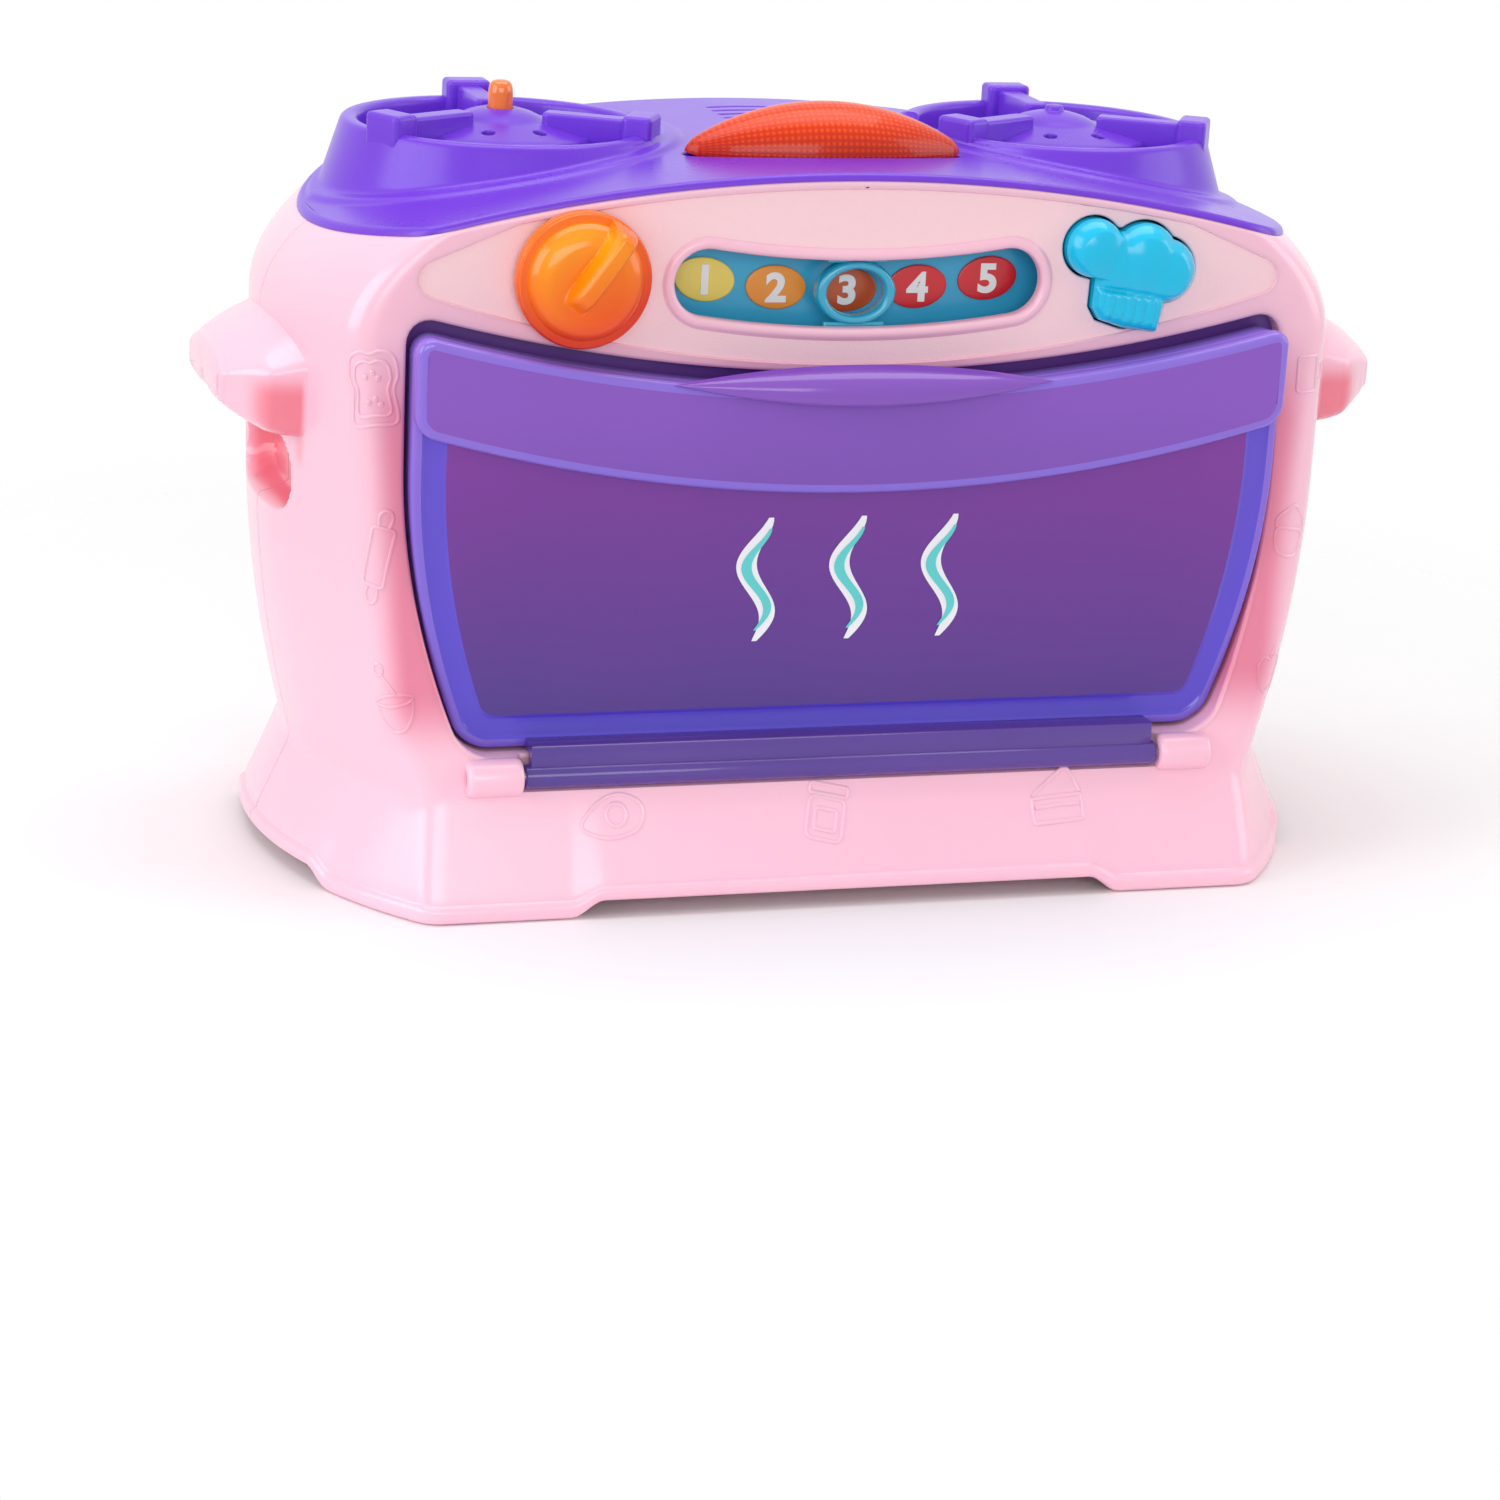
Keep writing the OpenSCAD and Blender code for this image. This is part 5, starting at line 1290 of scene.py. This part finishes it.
border = [(1.2, DOOR_BACK), (0.3, DOOR_BACK), (0.0, -48.4), (0.0, -54.5), (0.12, -55.1), (0.45, -55.65),
          (1.0, -55.93), (1.7, -56.0), (2.5, -56.0), (2.75, -55.9), (3.1, -55.62), (3.5, -55.5)]
rings = list(flat_rings(leaf, border))
for drawn_in, y in ((8.0, -55.5), (8.4, -55.62), (8.8, -55.92), (9.1, PANE_Y)):
    rings += list(flat_rings(door_loop(1.0 + drawn_in, 2.2, 3.0, len(leaf)), [(0, y)]))
# The rim gets the brighter tone of a painted highlight, and the wall the bluer tone painted for the long
# light path through it.
put_door("door_rim", stack(rings[:9], closed=False), door_edge_highlight)
put_door("door_wall", stack(rings[8:], closed=False), door_deep)
put_door("door_pane", (rings[-1], [np.arange(len(leaf))[None]]), door_clear)

# %% [markdown]
# The band's edge is a rolled strip. Its face is ruled from the lower edge to the upper edge, which keeps
# a long thin face smooth. The lip and the ledge are stacks of sections along X.

# %% Door band, lip and ledge


def band_low(x):
    """Lower edge of the band, which sags towards the middle."""
    return 110.8 + 0.0012 * x * x


def leaf_half(z):
    """Half width of the door leaf, which narrows as a parabola below 118 mm."""
    return 121 - 0.0028 * np.maximum(0, 118 - z) ** 2


def leaf_top(x):
    """Top edge of the door leaf."""
    return 138.6 + 0.0011 * x * x


def band_loop():
    """Outline of the raised band: its two bowed edges and the leaf's sides, with 5 mm corners."""
    x = np.linspace(-120.6, 120.6, 160)
    z = np.linspace(band_low(120.6), leaf_top(120.6), 40)
    low, top = np.stack([x, band_low(x)], -1), np.stack([x, leaf_top(x)], -1)
    right = np.stack([leaf_half(z), z], -1)
    return soften([low, right, top[::-1], right[::-1] * [-1, 1]], 5.0, 620)


band_edge = [(0.0, -55.6), (0.0, -57.6), (0.1, -58.3), (0.4, -58.95), (0.9, -59.35), (1.6, -59.56),
             (2.6, -59.6)]
band_rings = flat_rings(band_loop(), band_edge)


def ruled(ring, crown):
    """Fills a long level ring by lines from its lower edge to its upper edge, with a shallow crown."""
    left, right = ring[:, 0].argmin(), ring[:, 0].argmax()
    n = len(ring)
    low = ring[np.arange(left, left + (right - left) % n + 1) % n]
    high = ring[np.arange(right, right + (left - right) % n + 1) % n][::-1]
    u = np.sin(np.linspace(-np.pi / 2, np.pi / 2, 240))
    x = ring[left, 0] + (ring[right, 0] - ring[left, 0]) * (u + 1) / 2
    v = np.linspace(0, 1, 16)[:, None]
    z = np.interp(x, low[:, 0], low[:, 2]) * (1 - v) + np.interp(x, high[:, 0], high[:, 2]) * v
    y = ring[0, 1] - crown * np.sin(np.pi * v) + 0 * z
    return np.stack([x + 0 * z, y, z], -1).reshape(-1, 3), [skin(16, 240, wrap=False)]


# The band's rolled edge gets the same brighter painted highlight.
put_door("door_band_edge", stack(band_rings, closed=False), door_edge_highlight)
put_door("door_band", ruled(band_rings[-1], 0.25), door_violet)


def lip():
    """Crescent lip: a shelf between two long arcs, deepest in the middle, with a rounded nose."""
    x = np.linspace(-52.6, 52.6, 161)
    top = 145.9 - (281 - np.sqrt(281 ** 2 - x ** 2))
    low = 135.8 + (265 - np.sqrt(265 ** 2 - x ** 2))
    reach = np.maximum(6.5 - (215 - np.sqrt(215 ** 2 - x ** 2)), 0) * 0.98
    mid, half = (top + low) / 2, np.maximum((top - low) / 2, 0.02)
    rings = []
    for a in np.linspace(0, 2 * np.pi, 33)[:-1]:
        c, s = np.cos(a), np.sin(a)
        bulge = np.sign(s) * abs(s) ** 0.75
        out = ramp(c) ** 0.7 if c > 0 else 0.0
        y = BAND_Y + 0.4 - (reach + 0.4) * out
        z = mid + half * bulge * (1 - 0.1 * out) - 0.32 * reach * out
        rings.append(np.stack([x, y, z], -1))
    return stack(np.array(rings).transpose(1, 0, 2))


put_door("door_lip", lip(), door_violet, sharp=60, solid=True)
barrel = lathe_x([(-89.6, 1.6), (-89.6, 2.9), (-89.3, 3.2), (-88.9, 3.3), (88.9, 3.3), (89.3, 3.2),
                  (89.6, 2.9), (89.6, 1.6)], HINGE_Y, HINGE_Z)


def ledge():
    """Bottom ledge between the barrel and the pane, an L-shaped bar with soft edges."""
    line = np.array([(-63.6, 37.0), (-64.0, 38.5), (-64.0, 44.6), (-63.8, 45.2), (-63.2, 45.5),
                     (-57.0, 45.5), (-56.3, 45.3), (-56.0, 44.8), (-56.0, 42.6), (-61.2, 42.4),
                     (-61.6, 42.0), (-61.6, 37.0)])
    return stack([np.column_stack([np.full(len(line), x), *(line.mean(0) + (line - line.mean(0)) * f).T])
                  for x, f in ((-88.0, 0.96), (-87.8, 1.0), (87.8, 1.0), (88.0, 0.96))])


put_door("door_barrel", join(barrel, ledge()), door_violet, sharp=35, solid=True)

# %% [markdown]
# The printed film carries a plain pattern of three rising strokes of heat, which any oven might show.
# Each stroke is a white sheet just in front of the pane, with a narrower teal one on it.

# %% Printed film


def heat_stroke(x0, low, high, width):
    """Wavy upright stroke with round ends: a sine line widened to a ribbon that tapers to its tips."""
    z = np.linspace(low, high, 90)
    t = (z - low) / (high - low)
    x = x0 + 3.2 * np.sin(t * 2.4 * np.pi)
    half = width * np.sqrt(ramp(np.sin(np.pi * ramp(0.03 + 0.94 * t)))) * (0.75 + 0.25 * np.sin(np.pi * t))
    return np.vstack([np.stack([x + half, z], -1), np.stack([x - half, z], -1)[::-1]])


def sheet(loop, y):
    """Flat sheet over a stroke: its two sides are joined across."""
    n = len(loop) // 2
    right, left = loop[:n], loop[n:][::-1]
    v = np.linspace(0, 1, 5)[:, None, None]
    grid = right[None] + v * (left - right)[None]
    points = np.stack([grid[..., 0], np.full(grid.shape[:2], y), grid[..., 1]], -1)
    return points.reshape(-1, 3), [skin(5, n, wrap=False)]


spots = (-26.0, 0.0, 26.0)
strokes = join(*(sheet(heat_stroke(x, 70, 104, 3.0), -56.12) for x in spots))
put("film_strokes", *strokes, film_white, "door", ("door_film",), "printed_film", sharp=60, solid=False)
accents = join(*(sheet(heat_stroke(x, 73, 101, 1.5), -56.2) for x in spots))
put("film_accents", *accents, film_teal, "door", ("door_film",), "printed_film", sharp=60, solid=False)

# %% [markdown]
# ## Controls
# The timer knob is a flanged dome with a bar across it that ends square; the bar runs out smoothly
# into the dome. Its front is one height over a disc, so the three forms can be blended as heights.

# %% Knob


def smooth_max(a, b, k):
    """Larger of two heights with a fillet of about k between them."""
    h = ramp(0.5 + 0.5 * (a - b) / k)
    return b + (a - b) * h + k * h * (1 - h)


def knob():
    """Height over a disc: flange, dome and bar, joined by smooth maxima, in polar rings."""
    r = np.concatenate([np.linspace(0.02, 15.4, 46), np.linspace(15.6, 18.0, 14)])
    a = np.linspace(0, 2 * np.pi, 220, endpoint=False)
    x, z = r[:, None] * np.cos(a), r[:, None] * np.sin(a)
    lean = np.radians(35)
    along = x * np.sin(lean) + z * np.cos(lean)
    aside = x * np.cos(lean) - z * np.sin(lean)
    flange = 3.4 + 0.6 * np.sqrt(ramp((18.0 - r) / 1.2))[:, None] + 0 * a
    dome = 4.0 + (5.6 * np.sqrt(ramp(1 - (r / 15.6) ** 4)) - 0.9 * ramp(1 - (r / 10) ** 2))[:, None] + 0 * a
    top = 15.3 - 0.006 * (along - 6) ** 2
    side = ramp((3.7 - np.abs(aside)) / 2.4)
    ends = ramp((17.4 - along) / 3.0) * ramp((along + 8.0) / 5.0)
    bar = 4.0 + (top - 4.0) * np.sqrt((1 - (1 - side) ** 2) * (1 - (1 - ends) ** 2))
    y = smooth_max(smooth_max(flange, dome, 0.7), bar, 2.4)
    y = np.where((r > 17.6)[:, None], flange, y)
    front = np.stack([x - CONTROL_X, PANEL_Y - 0.4 - y, CONTROL_Z + z], -1)
    rim_r = np.array([18.0, 17.9])[:, None]
    back = np.stack([-CONTROL_X + rim_r * np.cos(a), np.array([[PANEL_Y - 0.9], [PANEL_Y - 0.4]]) + 0 * a,
                     CONTROL_Z + rim_r * np.sin(a)], -1)
    return stack(np.concatenate([front, back]))


put("knob_cap", *knob(), knob_orange, "knob", ("timer_knob",), "orange_knob", sharp=48)

# %% [markdown]
# The ring slides along the smile-shaped window over five printed ovals. The numbers are plain figures from
# Blender's own font, turned into meshes and centred on their ovals.

# %% Sliding ring and numbers
NUMBER_STEP = 19.8


def ring():
    """Oval ring with a rounded section, 3.2 mm wide and 5.2 mm deep."""
    a = np.linspace(0, 2 * np.pi, 120, endpoint=False)
    rings = []
    for t in np.linspace(0, 2 * np.pi, 25):
        c, s = np.cos(t), np.sin(t)
        out = 1.6 * np.sign(c) * abs(c) ** 0.8
        y = np.full(120, -44.9 - 2.6 * np.sign(s) * abs(s) ** 0.8)
        rings.append(np.stack([(9.6 + out) * np.cos(a), y, 162.5 + (7.4 + out * 0.8) * np.sin(a)], -1))
    return stack(rings[:-1] + rings[:1], closed=False)


def shade_plate(low, high):
    """Part of the slider above or below the ring: a thin plate with rounded edges."""
    points, faces = brick(-8.5, 8.5, low, high, 0, 1.2, 0.5)
    return np.column_stack([points[:, 0], -45.2 - points[:, 2], points[:, 1]]), faces


slider = join(ring(), shade_plate(149.4, 154.6), shade_plate(170.4, 174.2))
put("ring_top", *slider, ring_teal, "ring", ("slider_ring",), "teal_ring", sharp=50)


def on_slide(outline, at):
    """A front-view outline drawn about the arc's middle place, carried along the arc by a distance."""
    b = np.arcsin(at / SMILE_R)
    x, z = outline[:, 0], outline[:, 1] - SMILE_R
    return np.stack([x * np.cos(b) - z * np.sin(b), SMILE_Z + x * np.sin(b) + z * np.cos(b)], -1)


def figure(number, middle):
    """One raised figure, centred on a place; the font's curve is turned into a mesh."""
    words = bpy.data.curves.new(f"figure_{number}", "FONT")
    words.body, words.size, words.align_x, words.align_y = str(number), 0.0106, "CENTER", "CENTER"
    words.extrude, words.offset, words.resolution_u = 0.0001, 0.0004, 12
    made = bpy.data.objects.new("figure", words)
    objects = bpy.context.scene.collection.objects
    objects.link(made)
    bpy.context.view_layer.update()
    mesh = bpy.data.meshes.new_from_object(made.evaluated_get(bpy.context.evaluated_depsgraph_get()))
    bpy.data.objects.remove(made)
    corners = np.zeros(len(mesh.vertices) * 3)
    mesh.vertices.foreach_get("co", corners)
    corners = corners.reshape(-1, 3) / MM
    corners[:, :2] -= (corners[:, :2].max(0) + corners[:, :2].min(0)) / 2
    x, z = (corners[:, :2] * [1.08, 1.0] + middle).T
    mesh.vertices.foreach_set("co", (np.column_stack([x, -38.72 - corners[:, 2], z]) * MM).ravel())
    mesh.name = f"number_{number}_figure"
    piece = bpy.data.objects.new(mesh.name, mesh)
    objects.link(piece)
    mesh.materials.clear()
    mesh.materials.append(figure_white)
    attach(piece, "body")


a = np.linspace(0, 2 * np.pi, 60, endpoint=False)
for number, finish in enumerate(oval_prints, 1):
    at = (number - 3) * NUMBER_STEP
    shape = on_slide(np.stack([8.4 * np.cos(a), -0.8 + 5.9 * np.sin(a)], -1), at)
    oval = stack(flat_rings(shape, [(0.3, -38.0), (0, -38.1), (0, -38.45), (0.15, -38.6), (0.4, -38.65)]))
    put(f"number_{number}_print", *oval, finish, "body", ("number_ovals",), "printed_ovals", sharp=60)
    figure(number, on_slide(np.array([[0.0, -0.8]]), at))
print("five ovals with figures")

# %% [markdown]
# The hat button is a puffy cushion over a pleated band. Rings shrink from its outline to its middle, and
# each point's height is the smooth maximum of four round lobes. It is hollow behind, where its springs sit.

# %% Hat button


def hat():
    """Puffed cap: rings of the outline's own shape, with heights from four lobes over a pleated band."""
    outline = hat_points(0.0, (0, 0), 320)
    reach = np.linalg.norm(outline, axis=1)
    f = np.sin(np.linspace(0.004, np.pi / 2, 60))[:, None]
    x, z = f * outline[None, :, 0], f * outline[None, :, 1]
    c, s = np.cos(HAT_LEAN), np.sin(HAT_LEAN)
    u, w = x * c - z * s, x * s + z * c
    edge = reach[None] * (1 - f)
    puffs = np.zeros_like(u)
    for (cx, cz, r), high in zip(HAT_PUFFS, (5.4, 4.4, 6.2, 5.4)):
        lobe = high * ramp(1 - ((u - cx) ** 2 + (w - cz) ** 2) / (r + 1.2) ** 2) ** 0.8
        puffs = smooth_max(puffs, lobe, 0.7)
    on_band = ease((-3.6 - w) / 1.6)
    pleats = 2.0 + 0.75 * np.abs(np.cos(u * np.pi / 3.0)) ** 0.7
    brim = 1.1 * np.exp(-((w + 4.2) / 0.9) ** 2)
    high = puffs * (1 - on_band) + pleats * on_band - 0.6 * brim
    shoulder = np.sqrt(ramp(1 - (1 - ramp(edge / 2.6)) ** 2))
    y = -52.6 + (1 - shoulder) * 2.6 - high * ramp(edge / 3.4) ** 0.7 * 0.62
    top = np.stack([CONTROL_X + x, y, CONTROL_Z + z], -1)
    sides = [np.column_stack([outline * part + [CONTROL_X, CONTROL_Z], np.full(320, deep)])[:, [0, 2, 1]]
             for part, deep in ((1.0, -50.5), (1.0, -47.4), (0.87, -47.4), (0.87, -51.6))]
    return stack(np.concatenate([top, sides]))


put("hat_cap", *hat(), hat_blue, "hat", ("hat_button",), "blue_hat", sharp=55)

# %% [markdown]
# ## Nodes shown as they are
# The fasteners, boards, cells and inner mouldings keep their exact solids. Each gets a finish of its own
# kind: turned steel, board lacquer, soft black switch plastic, shrink-wrapped cells.

# %% Finishes of the CAD nodes


def metal(name, colour, rough):
    """Plated metal with fine turning marks."""
    f = Finish(name, Metallic=1.0)
    x, y, z = f.axes()
    place = f.node("ShaderNodeCombineXYZ", (), [x * 0.15, y, z])
    marks = f.noise(2600.0, 2.0, 0.6, place)
    f.feed("Base Color", f.mix(f.noise(120.0).spread(0, 0.5), colour, tuple(0.8 * c for c in colour)))
    f.feed("Roughness", marks.spread(rough, rough * 1.6))
    f.bump(marks, 0.15, 0.00005)
    return f.material


steel = metal("steel", srgb(206, 208, 212), 0.2)
brass = metal("brass", srgb(205, 176, 112), 0.28)
black_switch = moulded("black_switch", srgb(38, 38, 42), srgb(28, 28, 32), rough=0.4, coat=0.0, grain=0.3)
white_plain = moulded("white_plain", srgb(236, 236, 234), srgb(226, 226, 226), rough=0.35, coat=0.1)
board_green = moulded("board_green", srgb(34, 96, 52), srgb(26, 80, 44), rough=0.3, coat=0.4)
cell_case = moulded("cell_case", srgb(84, 88, 94), srgb(66, 70, 78), rough=0.25, coat=0.4)
cone_paper = moulded("cone_paper", srgb(52, 48, 46), srgb(40, 38, 38), rough=0.7, coat=0.0, grain=0.8)
lamp_clear = moulded("lamp_clear", srgb(244, 236, 214), srgb(232, 222, 196), rough=0.1, coat=0.6)
lead_red = moulded("lead_red", srgb(190, 34, 30), srgb(170, 26, 24), rough=0.4, coat=0.1)
lead_black = moulded("lead_black", srgb(30, 30, 32), srgb(22, 22, 24), rough=0.4, coat=0.1)
lead_yellow = moulded("lead_yellow", srgb(226, 196, 60), srgb(210, 178, 46), rough=0.4, coat=0.1)
lead_blue = moulded("lead_blue", srgb(44, 86, 176), srgb(36, 72, 156), rough=0.4, coat=0.1)
WEARS = {
    pink: ["battery_cover", "base_plate"],
    liner_violet: ["oven_cavity"],
    tray_teal: ["number_tray"],
    steel: ["hinge_pin", "knob_clip", "hat_springs", "pin_spring", "contact_springs", "plunger_spring",
            "shell_screws", "hob_screws", "base_screws", "board_screws", "speaker_screws", "cover_screw",
            "speaker_magnet"],
    brass: ["slider_contact", "flat_contacts"],
    black_switch: ["rotary_switch", "hat_switch", "pin_switch", "power_switch", "door_switch",
                   "board_parts", "battery_box"],
    white_plain: ["light_tray", "power_slider", "door_plunger", "speaker_frame"],
    board_green: ["main_board", "slider_board"],
    cell_case: ["cells"],
    cone_paper: ["speaker_cone"],
    lamp_clear: ["lamps"],
    lead_red: ["battery_leads"],
    lead_black: ["speaker_leads"],
    lead_yellow: ["lamp_leads"],
    lead_blue: ["panel_leads"],
}
for finish, names in WEARS.items():
    for name in names:
        node = bpy.data.objects[name]
        node.data.materials.clear()
        node.data.materials.append(finish)
print("finishes on", sum(map(len, WEARS.values())), "CAD nodes")

# %% [markdown]
# ## Stage, light and camera
# The photograph is a studio cut-out: broad soft light from above and the front, a white
# surround and a faint shadow. The surround is full white to the camera, in mirror-like surfaces and
# through clear ones, and dimmer as a light, so the background is clean and the floor still takes
# the shadow. The camera's place was solved from measured points of the photograph.

# %% Stage and camera
scene = bpy.context.scene


def plane(name, corners, finish):
    """One stage face from its corner points in metres."""
    mesh = bpy.data.meshes.new(name)
    mesh.from_pydata(corners, [], [tuple(range(len(corners)))])
    made = bpy.data.objects.new(name, mesh)
    scene.collection.objects.link(made)
    mesh.materials.append(finish)
    return made


def fading_floor():
    """Pale floor that takes the shadow near the toy and fades out to the white surround."""
    f = Finish("floor_white", Roughness=0.6)
    x, y, _ = f.axes()
    f.feed("Base Color", f.mix(f.noise(3.0), (0.93, 0.93, 0.93), (0.915, 0.915, 0.915)))
    f.feed("Alpha", (x * x + y * y).maths("SQRT").eased(0.2, 0.5, 1.0, 0.0))
    return f.material


floor = plane("floor", [(-3, -3, 0), (3, -3, 0), (3, 3, 0), (-3, 3, 0)], fading_floor())


def soft_box(name, place, aim, size, watts, colour=(1.0, 1.0, 1.0)):
    """A rectangular soft light that faces a point; lengths in metres."""
    lamp = bpy.data.lights.new(name, "AREA")
    lamp.shape, lamp.size, lamp.size_y, lamp.energy, lamp.color = "RECTANGLE", *size, watts, colour
    made = bpy.data.objects.new(name, lamp)
    scene.collection.objects.link(made)
    made.location = place
    away = np.array(place, float) - np.array(aim, float)
    made.rotation_euler = Vector(away).to_track_quat("Z", "Y").to_euler()


soft_box("left", (-1.15, -0.25, 0.55), (0, 0, 0.1), (0.9, 0.8), 7.0, (0.97, 0.98, 1.0))
soft_box("right", (1.2, -0.4, 0.5), (0, 0, 0.1), (0.8, 0.8), 4.0)
soft_box("top", (0.0, 0.1, 1.15), (0, 0, 0.15), (1.3, 0.7), 7.2)
soft_box("front", (-0.3, -1.6, 0.6), (0, 0, 0.1), (1.2, 0.6), 7.4)

world = bpy.data.worlds.new("studio")
world.use_nodes = True
sky = world.node_tree
seen = sky.nodes.new("ShaderNodeLightPath")
glow = sky.nodes.new("ShaderNodeMapRange")
glow.inputs["To Min"].default_value = 0.43
glow.inputs["To Max"].default_value = 1.0
met = seen.outputs["Is Camera Ray"]
for ray in ("Is Glossy Ray", "Is Transmission Ray"):
    both = sky.nodes.new("ShaderNodeMath")
    both.operation, both.use_clamp = "ADD", True
    sky.links.new(met, both.inputs[0])
    sky.links.new(seen.outputs[ray], both.inputs[1])
    met = both.outputs[0]
sky.links.new(met, glow.inputs["Value"])
sky.links.new(glow.outputs[0], sky.nodes["Background"].inputs["Strength"])
sky.nodes["Background"].inputs["Color"].default_value = (1.0, 1.0, 1.0, 1.0)
scene.world = world

AZIMUTH, ELEVATION, ROLL = np.radians([-18.0, 17.356, 3.321])
LENS, SENSOR = 101.92, 36.0
CAMERA_PLACE = (-0.3630, -1.0956, 0.3810)
behind = np.array([np.sin(AZIMUTH) * np.cos(ELEVATION), -np.cos(AZIMUTH) * np.cos(ELEVATION),
                   np.sin(ELEVATION)])
level = np.cross([0, 0, 1], behind)
level /= np.linalg.norm(level)
upright = np.cross(behind, level)
right = np.cos(ROLL) * level + np.sin(ROLL) * upright
above = -np.sin(ROLL) * level + np.cos(ROLL) * upright
lens = bpy.data.cameras.new("camera")
lens.lens, lens.sensor_width, lens.clip_start = LENS, SENSOR, 0.05
camera = bpy.data.objects.new("camera", lens)
scene.collection.objects.link(camera)
axes = np.stack([right, above, behind], 1)
camera.matrix_world = Matrix([[*row, at] for row, at in zip(axes, CAMERA_PLACE)] + [[0, 0, 0, 1]])
scene.camera = camera
scene.view_settings.view_transform = "Standard"
